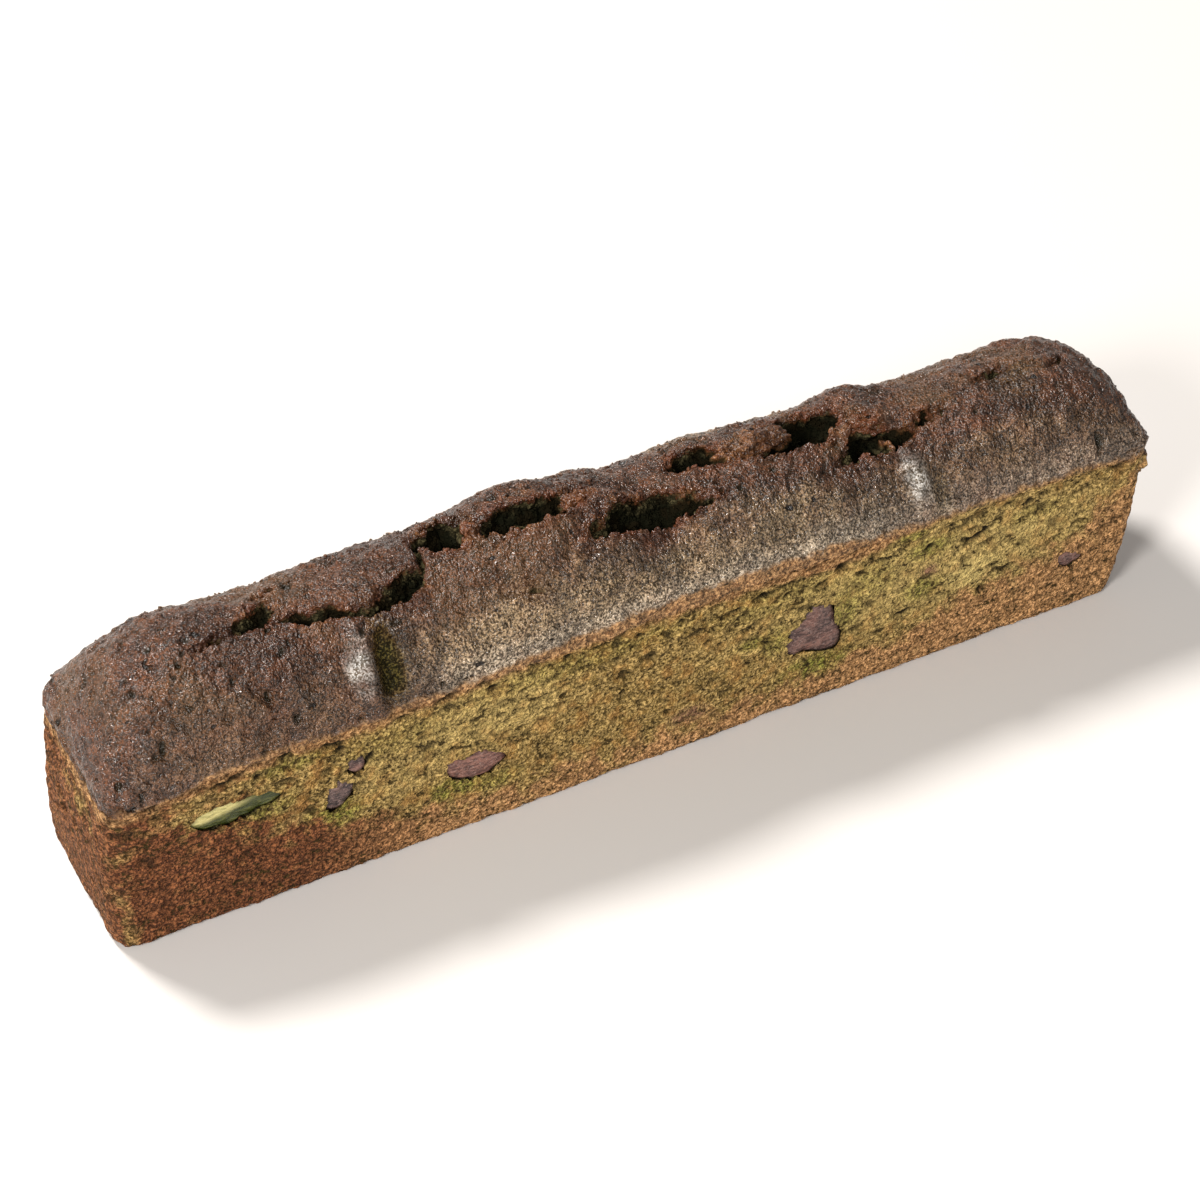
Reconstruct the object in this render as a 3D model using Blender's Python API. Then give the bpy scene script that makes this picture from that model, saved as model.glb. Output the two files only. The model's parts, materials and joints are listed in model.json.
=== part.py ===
"""A green-tea pound cake from a long slim tin: one domed loaf with a split crust and, sunk flush in its
walls, the sweet beans that show. Metres, +Z up, the loaf along X, the side with most beans facing -Y."""

import math

import bmesh
import bpy
from mathutils import Vector, noise

MM = 0.001

# The loaf as the tin shaped it, in metres.
LENGTH = 0.242
WIDTH = 0.0407
RIM_HEIGHT = 0.0400
DOME_RISE = 0.0203
CORNER_RADIUS = 0.005
FOOT_ROUNDING = 0.0016
LEFT_LEAN = -0.045
RIGHT_LEAN = 0.125
END_BELLY = 0.0012
CRUST_OVERHANG = 0.0003
OVERHANG_BAND = 0.0022
# The middle of the finished loaf's box, measured from the middle of its foot.
MIDDLE = Vector((0.00244, -0.00012, 0.0))

# The dome: how its section falls to the rim, and how far in from each end it reaches full height.
ACROSS_POWER = 2.0
ACROSS_ROOT = 1.95
RIDGE_SHIFT = -0.10
LEFT_SHOULDER = 0.0214
RIGHT_SHOULDER = 0.0168
LEFT_FULLNESS = 2.4
RIGHT_FULLNESS = 2.6
# Along the loaf: (place in mm, share of DOME_RISE) and (place in mm, height above RIM_HEIGHT in mm).
RISE_ALONG = (
    (-121, 0.82), (-108, 1.09), (-95, 1.10), (-75, 1.03), (-50, 1.06), (-32, 1.14), (-19, 1.27),
    (-6, 1.15), (10, 0.96), (24, 1.02), (40, 0.94), (55, 0.84), (70, 0.82), (95, 0.88), (124, 0.83),
)
RIM_ALONG = ((-125, -1.5), (-108, -1.0), (-95, 0.5), (0, 0.8), (60, 0.8), (100, 0.3), (125, -1.0))

# How finely the loaf's box is cut into cells before it is shaped.
CELLS_LONG = 66
CELLS_WIDE = 16
CELLS_HIGH = 10
EDGE_CROWDING = 0.8

# Soft unevenness of the baked surface: (wavelength, depth) in metres, on the walls and on the dome.
WALL_WAVES = ((0.024, 0.00035), (0.007, 0.00016))
DOME_WAVES = ((0.019, 0.00070), (0.0062, 0.00038))

# Low swellings and hollows on the dome: (x, y, reach along X, reach along Y, height) in mm.
SWELLINGS = (
    (-61.0, -16.5, 3.0, 5.5, 1.5),
    (-56.2, -17.0, 2.6, 5.0, -1.3),
    (65.2, -16.5, 3.0, 5.0, 1.1),
    (71.0, -16.5, 3.2, 4.5, -0.8),
    (62.5, 0.5, 6.5, 4.5, 2.0),
    (-44.5, -2.6, 3.4, 2.6, 1.3),
    (-20.0, 5.5, 11.0, 3.4, 1.5),
    (4.0, -4.2, 13.0, 2.4, 1.0),
    (45.0, -6.5, 6.0, 2.6, 0.9),
)

# Splits in the crust. Each is a path of (x, y, half width, depth) in mm on the dome.
CREVICES = {
    "split_far_left": (
        (-85.5, -5.0, 0.5, 1.2), (-82.0, -4.2, 1.2, 3.0), (-78.6, -2.8, 2.4, 5.0), (-75.2, -0.9, 0.9, 2.0),
    ),
    "split_left": (
        (-75.5, -5.1, 0.6, 1.5), (-71.2, -6.6, 1.4, 4.5), (-67.0, -7.5, 1.0, 3.5), (-61.3, -9.2, 0.7, 2.5),
        (-57.4, -9.6, 0.8, 3.0), (-52.0, -8.8, 1.6, 4.5), (-47.6, -7.6, 0.6, 2.0),
    ),
    "split_left_tail": ((-48.6, -8.2, 0.6, 2.2), (-46.8, -6.2, 0.7, 2.2), (-41.4, -6.6, 0.5, 1.4)),
    "split_crest_left": (
        (-43.0, 2.0, 0.9, 2.5), (-39.6, 0.8, 3.4, 6.0), (-35.6, 0.7, 4.4, 7.5), (-31.2, 1.0, 1.6, 4.0),
    ),
    "split_crest": (
        (-29.6, -2.7, 1.0, 3.5), (-24.6, -3.2, 2.2, 7.0), (-19.2, -3.8, 2.4, 7.5), (-13.4, -3.0, 1.8, 5.0),
        (-8.0, -2.2, 2.0, 4.5), (-3.6, -1.0, 0.8, 2.0),
    ),
    "split_almond": (
        (-9.8, -11.0, 0.5, 1.2), (-4.6, -10.4, 1.7, 4.0), (1.4, -8.8, 2.9, 6.0), (7.0, -7.9, 3.2, 6.5),
        (13.4, -8.5, 2.2, 5.0), (20.6, -10.2, 0.8, 2.2), (23.2, -10.4, 0.4, 1.0),
    ),
    "split_right_small": (
        (16.6, 2.3, 0.9, 2.0), (20.4, 1.8, 2.5, 6.0), (24.6, 0.2, 2.1, 5.0), (28.0, -2.0, 0.7, 1.6),
    ),
    "split_right": (
        (31.0, -2.4, 0.6, 1.5), (36.0, -2.0, 1.7, 4.0), (42.4, -0.4, 4.6, 8.0), (48.4, 1.2, 5.6, 9.0),
        (53.4, 2.1, 3.4, 6.0), (57.4, 3.1, 0.9, 2.0),
    ),
    "split_under_hump": (
        (51.6, -10.2, 0.5, 1.2), (55.8, -8.4, 1.7, 4.0), (60.4, -7.0, 3.4, 7.0), (64.4, -8.4, 1.9, 5.0),
        (69.0, -7.9, 1.4, 4.0), (72.4, -7.0, 0.5, 1.2),
    ),
    "split_beyond_hump": ((71.4, -5.2, 0.5, 1.2), (75.2, -5.2, 1.4, 4.0), (80.6, -4.7, 0.5, 1.2)),
    "slit_right": ((90.8, -1.0, 0.5, 1.2), (94.8, -0.5, 1.2, 3.5), (99.6, 0.3, 0.5, 1.2)),
    "slit_on_slope": ((-30.5, -15.0, 0.4, 1.0), (-25.2, -15.9, 0.8, 2.4), (-20.9, -17.2, 0.4, 1.0)),
}
STATIONS_A_SPLIT = 12
SPLIT_STANDS_PROUD = 4.0
FLOOR_SHARE = 0.42
CRAG_WAVELENGTH = 0.0032
CRAG_DEPTH = 0.0006

# Torn crumb left standing in the splits, and the nub at the right end of the rim:
# (x, y, z, reach along X, Y, Z) in mm.
CRUMB_LUMPS = {
    "crumb_bridge_left": (-30.6, -1.4, 61.0, 3.0, 2.7, 3.6),
    "crumb_shelf": (-22.5, -6.4, 62.0, 5.6, 2.2, 2.6),
    "crumb_bridge_middle": (-6.6, -1.6, 62.2, 4.6, 2.3, 2.4),
    "crumb_bridge_right": (33.6, 1.1, 58.2, 5.6, 3.4, 2.9),
    "crumb_under_hump": (63.8, -6.8, 53.0, 2.4, 2.1, 3.0),
    "rim_nub": (124.5, -17.3, 35.6, 1.7, 2.6, 4.0),
}

# Beans in the walls: side the wall faces, x, z, half width, half height, depth, tilt in degrees,
# and how strongly the outline departs from an oval.
BEANS = {
    "bean_large": (-1, 40.4, 21.0, 7.6, 7.1, 4.6, 12.0, 0.15),
    "bean_long": (-1, -40.4, 17.9, 7.6, 3.7, 3.6, -6.0, 0.12),
    "bean_small": (-1, -71.2, 22.9, 3.6, 3.5, 3.0, 20.0, 0.13),
    "bean_chip": (-1, -67.6, 29.4, 1.9, 2.1, 2.0, 40.0, 0.12),
    "bean_green": (-1, -93.4, 29.9, 10.2, 2.7, 3.2, -1.0, 0.08),
    "bean_low_right": (-1, 107.6, 14.3, 3.9, 1.9, 2.4, 4.0, 0.13),
    "bean_back_left": (1, -86.0, 24.0, 6.6, 4.6, 4.0, 24.0, 0.13),
    "bean_back_middle": (1, -18.0, 14.5, 7.0, 3.6, 3.6, -8.0, 0.12),
    "bean_back_small": (1, 33.0, 29.5, 3.6, 3.2, 2.8, 0.0, 0.13),
    "bean_back_right": (1, 78.0, 18.5, 7.2, 5.4, 4.2, -16.0, 0.14),
}
SOCKET_GAP = 0.0003
BEAN_SEGMENTS = 16
BEAN_RINGS = 8

COLOURS = {
    "crust": ((0.075, 0.040, 0.022), 0.62),
    "bean_red": ((0.105, 0.040, 0.042), 0.42),
    "bean_green": ((0.160, 0.175, 0.020), 0.35),
}


def level_along(places, x):
    """The value at x, in metres, of a smooth curve through (place in mm, value) pairs."""
    x = x / MM
    if x <= places[0][0]:
        return places[0][1]
    for (start, low), (end, high) in zip(places, places[1:]):
        if x <= end:
            share = (x - start) / (end - start)
            share = share * share * (3.0 - 2.0 * share)
            return low + (high - low) * share
    return places[-1][1]


def rim_height(x):
    return RIM_HEIGHT + level_along(RIM_ALONG, x) * MM


def half_lengths(z):
    """How far the walls reach to the left and to the right of the foot's middle at height z."""
    belly = END_BELLY * math.sin(math.pi * min(max(z / RIM_HEIGHT, 0.0), 1.0))
    return LENGTH / 2 + LEFT_LEAN * z + belly, LENGTH / 2 + RIGHT_LEAN * z + belly


def foot_inset(z):
    """How far the rounded foot edge draws the walls in at height z."""
    if z >= FOOT_ROUNDING:
        return 0.0
    rise = 1.0 - z / FOOT_ROUNDING
    return FOOT_ROUNDING * (1.0 - math.sqrt(max(1.0 - rise * rise, 0.0)))


def overhang(z, x):
    """How far the crust's edge stands out over the walls, just at the rim."""
    below = (rim_height(x) - z) / OVERHANG_BAND
    return CRUST_OVERHANG * min(max(1.0 - below, 0.0), 1.0)


def plan_point(u, v, z):
    """Where the unit square's point (u, v) lies in plan at height z, with the corners rounded."""
    left, right = half_lengths(z)
    reach_x = left if u < 0 else right
    grow = overhang(z, u * reach_x) - foot_inset(z)
    reach_x += grow
    reach_y = WIDTH / 2 + grow
    x = u * reach_x
    y = v * reach_y
    past_x = abs(x) - (reach_x - CORNER_RADIUS)
    past_y = abs(y) - (reach_y - CORNER_RADIUS)
    if past_x > 0 and past_y > 0:
        shrink = max(past_x, past_y) / math.hypot(past_x, past_y)
        x = math.copysign(reach_x - CORNER_RADIUS + past_x * shrink, x)
        y = math.copysign(reach_y - CORNER_RADIUS + past_y * shrink, y)
    return x, y


def dome_height(x, y):
    """Height of the smooth dome over the point (x, y)."""
    rim = rim_height(x)
    left, right = half_lengths(rim)
    v = min(max(y / (WIDTH / 2 + CRUST_OVERHANG), -1.0), 1.0)
    aside = min(abs(v - RIDGE_SHIFT * (1.0 - v * v)), 1.0)
    across = (1.0 - aside**ACROSS_POWER) ** (1.0 / ACROSS_ROOT)
    from_left = min(max((x + left) / LEFT_SHOULDER, 0.0), 1.0)
    from_right = min(max((right - x) / RIGHT_SHOULDER, 0.0), 1.0)
    ends = (1.0 - (1.0 - from_left) ** LEFT_FULLNESS) ** (1.0 / LEFT_FULLNESS)
    ends *= (1.0 - (1.0 - from_right) ** RIGHT_FULLNESS) ** (1.0 / RIGHT_FULLNESS)
    return rim + DOME_RISE * level_along(RISE_ALONG, x) * across * ends


def loaf_point(u, v, w):
    """Maps a point of the cube from -1 to 1 onto the smooth loaf: w = 1 is the dome, w = -1 the foot."""
    if w > 0.999:
        x, y = plan_point(u, v, RIM_HEIGHT + MM)
        return Vector((x, y, dome_height(x, y)))
    reach = LENGTH / 2 * u
    z = (w + 1.0) / 2.0 * rim_height(reach)
    x, y = plan_point(u, v, z)
    return Vector((x, y, z))


def waves(point, layers):
    total = 0.0
    for layer, (length, depth) in enumerate(layers):
        total += depth * noise.noise(point / length + Vector((7.3 * layer, 1.7, 4.1)))
    return total


def swelling(point):
    """Height of the broad swellings and hollows on the dome at this point."""
    total = 0.0
    for x, y, reach_x, reach_y, height in SWELLINGS:
        away = ((point.x / MM - x) / reach_x) ** 2 + ((point.y / MM - y) / reach_y) ** 2
        total += height * MM * math.exp(-away)
    return total


def stations(count):
    """Places of the cuts between -1 and 1, crowded towards both ends."""
    places = []
    for step in range(1, count):
        even = 2.0 * step / count - 1.0
        crowded = math.sin(even * math.pi / 2)
        places.append(even + (crowded - even) * EDGE_CROWDING)
    return places


def cut_box(along, across, upward):
    """A cube from -1 to 1, with its faces cut at the given places along X, Y and Z."""
    bm = bmesh.new()
    bmesh.ops.create_cube(bm, size=2.0)
    for axis, places in enumerate((along, across, upward)):
        normal = Vector((0.0, 0.0, 0.0))
        normal[axis] = 1.0
        for place in places:
            everything = bm.verts[:] + bm.edges[:] + bm.faces[:]
            bmesh.ops.bisect_plane(bm, geom=everything, plane_co=normal * place, plane_no=normal)
    return bm


def material(name):
    colour, roughness = COLOURS[name]
    made = bpy.data.materials.new(name)
    made.use_nodes = True
    shader = made.node_tree.nodes["Principled BSDF"]
    shader.inputs["Base Color"].default_value = (*colour, 1.0)
    shader.inputs["Roughness"].default_value = roughness
    shader.inputs["Metallic"].default_value = 0.0
    made.diffuse_color = (*colour, 1.0)
    return made


def object_from(bm, name, collection, finish=None):
    """Closes the bmesh into an object of this name, shaded smooth, in this collection."""
    bm.normal_update()
    bmesh.ops.recalc_face_normals(bm, faces=bm.faces)
    mesh = bpy.data.meshes.new(name)
    bm.to_mesh(mesh)
    bm.free()
    mesh.shade_smooth()
    made = bpy.data.objects.new(name, mesh)
    collection.objects.link(made)
    if finish:
        mesh.materials.append(finish)
    else:
        made.hide_render = True
        made.display_type = "WIRE"
    return made


def loaf(collection, finish):
    """The loaf before its crust is split: a cut box drawn onto the tin's shape and the dome."""
    bm = cut_box(stations(CELLS_LONG), stations(CELLS_WIDE), stations(CELLS_HIGH))
    is_foot = {vert: vert.co.z < -0.999 for vert in bm.verts}
    is_dome = {vert: vert.co.z > 0.999 for vert in bm.verts}
    for vert in bm.verts:
        vert.co = loaf_point(*vert.co)
    bmesh.ops.recalc_face_normals(bm, faces=bm.faces)
    bm.normal_update()
    moves = {}
    for vert in bm.verts:
        layers = DOME_WAVES if is_dome[vert] else WALL_WAVES
        push = waves(vert.co, layers)
        if is_dome[vert]:
            push += swelling(vert.co)
        move = vert.normal * push
        if is_foot[vert]:
            move.z = 0.0
        moves[vert] = move
    for vert, move in moves.items():
        vert.co += move - MIDDLE
        vert.co.z = max(vert.co.z, 0.0)
    foot_faces = [face for face in bm.faces if all(is_foot[vert] for vert in face.verts)]
    bmesh.ops.dissolve_faces(bm, faces=foot_faces)
    bmesh.ops.triangulate(bm, faces=bm.faces)
    return object_from(bm, "loaf", collection, finish)


def path_point(path, share):
    """The point at this share of a split's path: (x, y, half width, depth) in mm."""
    place = share * (len(path) - 1)
    start = min(int(place), len(path) - 2)
    part = place - start
    return [low + (high - low) * part for low, high in zip(path[start], path[start + 1])]


def crevice_cutter(name, path, collection):
    """A keel-shaped cutter that follows the path over the dome, wide at the crust and narrow below it."""
    places = [2.0 * step / STATIONS_A_SPLIT - 1.0 for step in range(1, STATIONS_A_SPLIT)]
    bm = cut_box(places, (0.0,), (0.0, 0.5))
    for vert in bm.verts:
        share = (vert.co.x + 1.0) / 2.0
        side = vert.co.y
        level = vert.co.z
        x, y, half_width, depth = path_point(path, share)
        ahead = path_point(path, min(share + 0.05, 1.0))
        behind = path_point(path, max(share - 0.05, 0.0))
        along = Vector((ahead[0] - behind[0], ahead[1] - behind[1], 0.0)).normalized()
        outward = Vector((-along.y, along.x, 0.0))
        edge = Vector((x, y, 0.0)) * MM + outward * side * half_width * MM
        surface = dome_height(edge.x, edge.y)
        if level > 0.25:
            lift = SPLIT_STANDS_PROUD * (level - 0.5) * 2.0
            point = Vector((edge.x, edge.y, surface + lift * MM))
        else:
            sunk = 0.55 if level > -0.5 else 1.0
            narrow = 0.85 if level > -0.5 else FLOOR_SHARE
            middle = Vector((x, y, 0.0)) * MM
            point = middle + (edge - middle) * narrow
            point.z = surface - depth * MM * sunk
        crag = noise.noise_vector(point / CRAG_WAVELENGTH) * CRAG_DEPTH
        vert.co = point + crag * min(half_width, 1.0) - MIDDLE
    bmesh.ops.triangulate(bm, faces=bm.faces)
    return object_from(bm, name, collection)


def crumb_lump(name, sizes, collection):
    """A lump of torn crumb, as a crumpled ball."""
    bm = bmesh.new()
    bmesh.ops.create_icosphere(bm, subdivisions=2, radius=1.0)
    centre = Vector(sizes[:3]) * MM
    for vert in bm.verts:
        crumple = 1.0 + 0.22 * noise.noise(vert.co * 1.7 + centre * 300.0)
        reach = Vector((vert.co.x * sizes[3], vert.co.y * sizes[4], vert.co.z * sizes[5])) * MM
        vert.co = centre + reach * crumple - MIDDLE
    return object_from(bm, name, collection)


def bean_body(name, wall, x, z, half_width, half_height, depth, tilt, edge, grow, proud):
    """A bean lying in the wall: a ball drawn out to the bean's outline and pressed flat by the tin."""
    bm = bmesh.new()
    bmesh.ops.create_uvsphere(bm, u_segments=BEAN_SEGMENTS, v_segments=BEAN_RINGS, radius=1.0)
    seed = Vector((x * 0.37, z * 0.53, 2.0))
    turn = math.radians(tilt)
    face = WIDTH / 2
    for vert in bm.verts:
        # The ball's pole looks out of the wall, so a ring of it follows the outline.
        across, up, out = vert.co.x, vert.co.y, vert.co.z
        radius = math.hypot(across, up)
        angle = math.atan2(up, across)
        ring = Vector((math.cos(angle), math.sin(angle), 0.0))
        uneven = 1.0 + edge * noise.noise(ring * 1.3 + seed) * 2.0 * radius
        flat_x = across * (half_width * MM * uneven + grow)
        flat_z = up * (half_height * MM * uneven + grow)
        inward = -out * (depth * MM + grow)
        inward = max(inward, -proud)
        point_x = x * MM + flat_x * math.cos(turn) - flat_z * math.sin(turn)
        point_z = z * MM + flat_x * math.sin(turn) + flat_z * math.cos(turn)
        vert.co = Vector((point_x, wall * (face - inward), point_z)) - MIDDLE
    return bm


def boolean(target, operation, collection):
    """Cuts the whole collection out of the target, or joins it on, as a live modifier."""
    modifier = target.modifiers.new(operation.lower(), "BOOLEAN")
    modifier.operation = operation
    modifier.operand_type = "COLLECTION"
    modifier.collection = collection
    modifier.solver = "EXACT"


def new_collection(name):
    made = bpy.data.collections.new(name)
    bpy.context.scene.collection.children.link(made)
    return made


for old in list(bpy.data.objects):
    bpy.data.objects.remove(old, do_unlink=True)

parts = new_collection("pound_cake")
split_cutters = new_collection("split_cutters")
torn_crumb = new_collection("torn_crumb")
socket_cutters = new_collection("socket_cutters")

cake = loaf(parts, material("crust"))
for split_name, split_path in CREVICES.items():
    crevice_cutter(split_name, split_path, split_cutters)
for lump_name, lump_sizes in CRUMB_LUMPS.items():
    crumb_lump(lump_name, lump_sizes, torn_crumb)
bean_finishes = {"red": material("bean_red"), "green": material("bean_green")}
for bean_name, bean_sizes in BEANS.items():
    colour = "green" if bean_name == "bean_green" else "red"
    body = bean_body(bean_name, *bean_sizes, grow=0.0, proud=-0.0001)
    object_from(body, bean_name, parts, bean_finishes[colour])
    socket = bean_body(bean_name, *bean_sizes, grow=SOCKET_GAP, proud=0.003)
    object_from(socket, bean_name + "_socket", socket_cutters)
boolean(cake, "DIFFERENCE", split_cutters)
boolean(cake, "UNION", torn_crumb)
boolean(cake, "DIFFERENCE", socket_cutters)
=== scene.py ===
import json
import math

import bmesh
import bpy
import numpy as np
from mathutils import Matrix, Vector, kdtree, noise

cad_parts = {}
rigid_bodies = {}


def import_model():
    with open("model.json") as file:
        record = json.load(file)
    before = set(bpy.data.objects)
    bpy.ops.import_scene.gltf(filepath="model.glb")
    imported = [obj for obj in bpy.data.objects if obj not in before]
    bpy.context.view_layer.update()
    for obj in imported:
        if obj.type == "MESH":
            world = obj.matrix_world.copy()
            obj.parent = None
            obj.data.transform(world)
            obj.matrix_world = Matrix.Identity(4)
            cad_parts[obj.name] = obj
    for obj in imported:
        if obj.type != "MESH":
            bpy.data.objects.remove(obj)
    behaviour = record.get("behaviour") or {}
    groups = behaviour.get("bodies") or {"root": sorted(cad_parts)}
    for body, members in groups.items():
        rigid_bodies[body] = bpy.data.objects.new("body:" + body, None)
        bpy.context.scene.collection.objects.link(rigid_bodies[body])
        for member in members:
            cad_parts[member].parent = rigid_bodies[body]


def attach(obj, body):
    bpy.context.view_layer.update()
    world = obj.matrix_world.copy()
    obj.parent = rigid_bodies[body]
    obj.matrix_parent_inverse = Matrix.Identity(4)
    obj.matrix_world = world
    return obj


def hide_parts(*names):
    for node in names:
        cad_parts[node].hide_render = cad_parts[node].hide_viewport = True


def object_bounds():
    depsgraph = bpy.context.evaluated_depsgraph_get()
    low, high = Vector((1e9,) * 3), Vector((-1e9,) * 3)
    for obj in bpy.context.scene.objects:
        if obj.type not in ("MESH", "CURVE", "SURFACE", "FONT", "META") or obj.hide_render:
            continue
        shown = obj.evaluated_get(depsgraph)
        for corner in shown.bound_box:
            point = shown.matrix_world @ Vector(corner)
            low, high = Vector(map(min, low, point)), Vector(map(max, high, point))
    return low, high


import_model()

cad_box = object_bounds()

# ---------------------------------------------------------------------------------------------
# The loaf's form. A long slim tin gives it flat walls, round corners and a flat foot, and the
# dough rises out of the tin into a dome. Crust and walls are cut from this one form, so they
# meet point for point along the rim. Sizes are the tin's, in metres, from the middle of the foot.

MM = 0.001
LENGTH = 0.242
WIDTH = 0.0407
RIM_HEIGHT = 0.0400
DOME_RISE = 0.0203
CORNER_RADIUS = 0.005
FOOT_ROUNDING = 0.0016
LEFT_LEAN = -0.045
RIGHT_LEAN = 0.125
END_BELLY = 0.0012
CRUST_OVERHANG = 0.0003
OVERHANG_BAND = 0.0022
MIDDLE = np.array((0.00244, -0.00012, 0.0))
LEFT_SHOULDER = 0.0214
RIGHT_SHOULDER = 0.0168
LEFT_ROUNDNESS = 2.4
RIGHT_ROUNDNESS = 2.6
ROUNDNESS_ACROSS = 1.95
CREST_ASIDE = 0.10
RISE_ALONG = (
    (-121, 0.82), (-108, 1.09), (-95, 1.10), (-75, 1.03), (-50, 1.06), (-32, 1.14), (-19, 1.27),
    (-6, 1.15), (10, 0.96), (24, 1.02), (40, 0.94), (55, 0.84), (70, 0.82), (95, 0.88), (124, 0.83),
)
RIM_ALONG = ((-125, -1.5), (-108, -1.0), (-95, 0.5), (0, 0.8), (60, 0.8), (100, 0.3), (125, -1.0))
CELLS_LONG = 590
CELLS_WIDE = 136
CELLS_HIGH = 100
FOOT_ROWS = 5
CURVE_STEPS = 6000


def eased(value, low, high):
    """0 up to the low value and 1 from the high one, with a smooth rise between them."""
    share = np.clip((value - low) / (high - low), 0.0, 1.0)
    return share * share * (3.0 - 2.0 * share)


def level_along(places, x):
    """The values at x, in metres, of a smooth curve through (place in mm, value) pairs."""
    xs = np.array([place for place, _ in places]) * MM
    levels = np.array([level for _, level in places], float)
    start = np.clip(np.searchsorted(xs, x, side="right") - 1, 0, len(xs) - 2)
    return levels[start] + (levels[start + 1] - levels[start]) * eased(x, xs[start], xs[start + 1])


def rim_height(x):
    return RIM_HEIGHT + level_along(RIM_ALONG, x) * MM


def half_lengths(z):
    """How far the walls reach to the left and to the right at height z."""
    belly = END_BELLY * np.sin(math.pi * np.clip(z / RIM_HEIGHT, 0.0, 1.0))
    return LENGTH / 2 + LEFT_LEAN * z + belly, LENGTH / 2 + RIGHT_LEAN * z + belly


def plan_points(u, v, z):
    """Where the unit square's points lie in plan at height z, with the corners rounded."""
    left, right = half_lengths(z)
    reach_x = np.where(u < 0, left, right)
    below = (rim_height(u * reach_x) - z) / OVERHANG_BAND
    rise = np.clip(1.0 - z / FOOT_ROUNDING, 0.0, 1.0)
    grow = CRUST_OVERHANG * np.clip(1.0 - below, 0.0, 1.0)
    grow = grow - FOOT_ROUNDING * (1.0 - np.sqrt(1.0 - rise * rise))
    reach_x = reach_x + grow
    reach_y = WIDTH / 2 + grow
    x, y = u * reach_x, v * reach_y
    past_x = np.maximum(np.abs(x) - (reach_x - CORNER_RADIUS), 0.0)
    past_y = np.maximum(np.abs(y) - (reach_y - CORNER_RADIUS), 0.0)
    corner = (past_x > 0) & (past_y > 0)
    shrink = np.maximum(past_x, past_y) / np.maximum(np.hypot(past_x, past_y), 1e-9)
    x = np.where(corner, np.sign(x) * (reach_x - CORNER_RADIUS + past_x * shrink), x)
    y = np.where(corner, np.sign(y) * (reach_y - CORNER_RADIUS + past_y * shrink), y)
    return x, y


def dome_height(x, y):
    """Height of the smooth dome over the points (x, y)."""
    rim = rim_height(x)
    left, right = half_lengths(rim)
    v = np.clip(y / (WIDTH / 2 + CRUST_OVERHANG), -1.0, 1.0)
    aside = np.minimum(np.abs(v + CREST_ASIDE * (1.0 - v * v)), 1.0)
    across = (1.0 - aside**2.0) ** (1.0 / ROUNDNESS_ACROSS)
    from_left = np.clip((x + left) / LEFT_SHOULDER, 0.0, 1.0)
    from_right = np.clip((right - x) / RIGHT_SHOULDER, 0.0, 1.0)
    ends = (1.0 - (1.0 - from_left) ** LEFT_ROUNDNESS) ** (1.0 / LEFT_ROUNDNESS)
    ends = ends * (1.0 - (1.0 - from_right) ** RIGHT_ROUNDNESS) ** (1.0 / RIGHT_ROUNDNESS)
    return rim + DOME_RISE * level_along(RISE_ALONG, x) * across * ends


def even_stations(count, x, y, along):
    """Places between -1 and 1 that lie evenly along the dome's curve through the points (x, y)."""
    z = dome_height(x, y)
    arc = np.concatenate(([0.0], np.cumsum(np.hypot(np.hypot(np.diff(x), np.diff(y)), np.diff(z)))))
    return np.interp(np.linspace(0.0, arc[-1], count + 1), arc, along)


fine = np.linspace(-1.0, 1.0, CURVE_STEPS + 1)
middle = fine * 0.0
crest_x, _ = plan_points(fine, middle, middle + RIM_HEIGHT + MM)
_, section_y = plan_points(middle, fine, middle + RIM_HEIGHT + MM)
places_long = even_stations(CELLS_LONG, crest_x, middle, fine)
places_wide = even_stations(CELLS_WIDE, middle, section_y, fine)

# The dome is a grid of points, and each row of the walls goes once round the loaf below it.
u_grid, v_grid = np.meshgrid(places_long, places_wide, indexing="ij")
dome_x, dome_y = plan_points(u_grid, v_grid, u_grid * 0.0 + RIM_HEIGHT + MM)
dome_points = np.stack((dome_x, dome_y, dome_height(dome_x, dome_y)), axis=-1).reshape(-1, 3)
dome_ids = np.arange(len(dome_points)).reshape(u_grid.shape)
rim_ids = np.concatenate((dome_ids[:-1, 0], dome_ids[-1, :-1], dome_ids[:0:-1, -1], dome_ids[0, :0:-1]))
rim_u = u_grid.reshape(-1)[rim_ids]
rim_v = v_grid.reshape(-1)[rim_ids]
levels = np.linspace(1.0, FOOT_ROUNDING / RIM_HEIGHT, CELLS_HIGH + 1)[1:]
turns = np.linspace(math.pi / 2, 0.0, FOOT_ROWS + 1)[1:]
row_heights = [level * rim_height(rim_u * LENGTH / 2) for level in levels]
row_heights += [rim_u * 0.0 + FOOT_ROUNDING * (1.0 - math.cos(turn)) for turn in turns]
wall_rows = []
for row_z in row_heights:
    row_x, row_y = plan_points(rim_u, rim_v, row_z)
    wall_rows.append(np.stack((row_x, row_y, row_z), axis=-1))
around = len(rim_ids)
wall_ids = len(dome_points) + np.arange(around * len(wall_rows)).reshape(len(wall_rows), around)
ring_ids = np.concatenate((rim_ids[None, :], wall_ids))
smooth = np.concatenate([dome_points] + wall_rows)
dome_faces = np.stack(
    (dome_ids[:-1, :-1], dome_ids[1:, :-1], dome_ids[1:, 1:], dome_ids[:-1, 1:]), axis=-1
).reshape(-1, 4)
beyond = np.roll(ring_ids, -1, axis=1)
wall_faces = np.stack((ring_ids[1:], beyond[1:], beyond[:-1], ring_ids[:-1]), axis=-1)


def mesh_of(name, places, faces):
    made = bpy.data.meshes.new(name)
    made.from_pydata(places.tolist(), [], [list(face) for face in faces])
    made.update()
    return made


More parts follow.
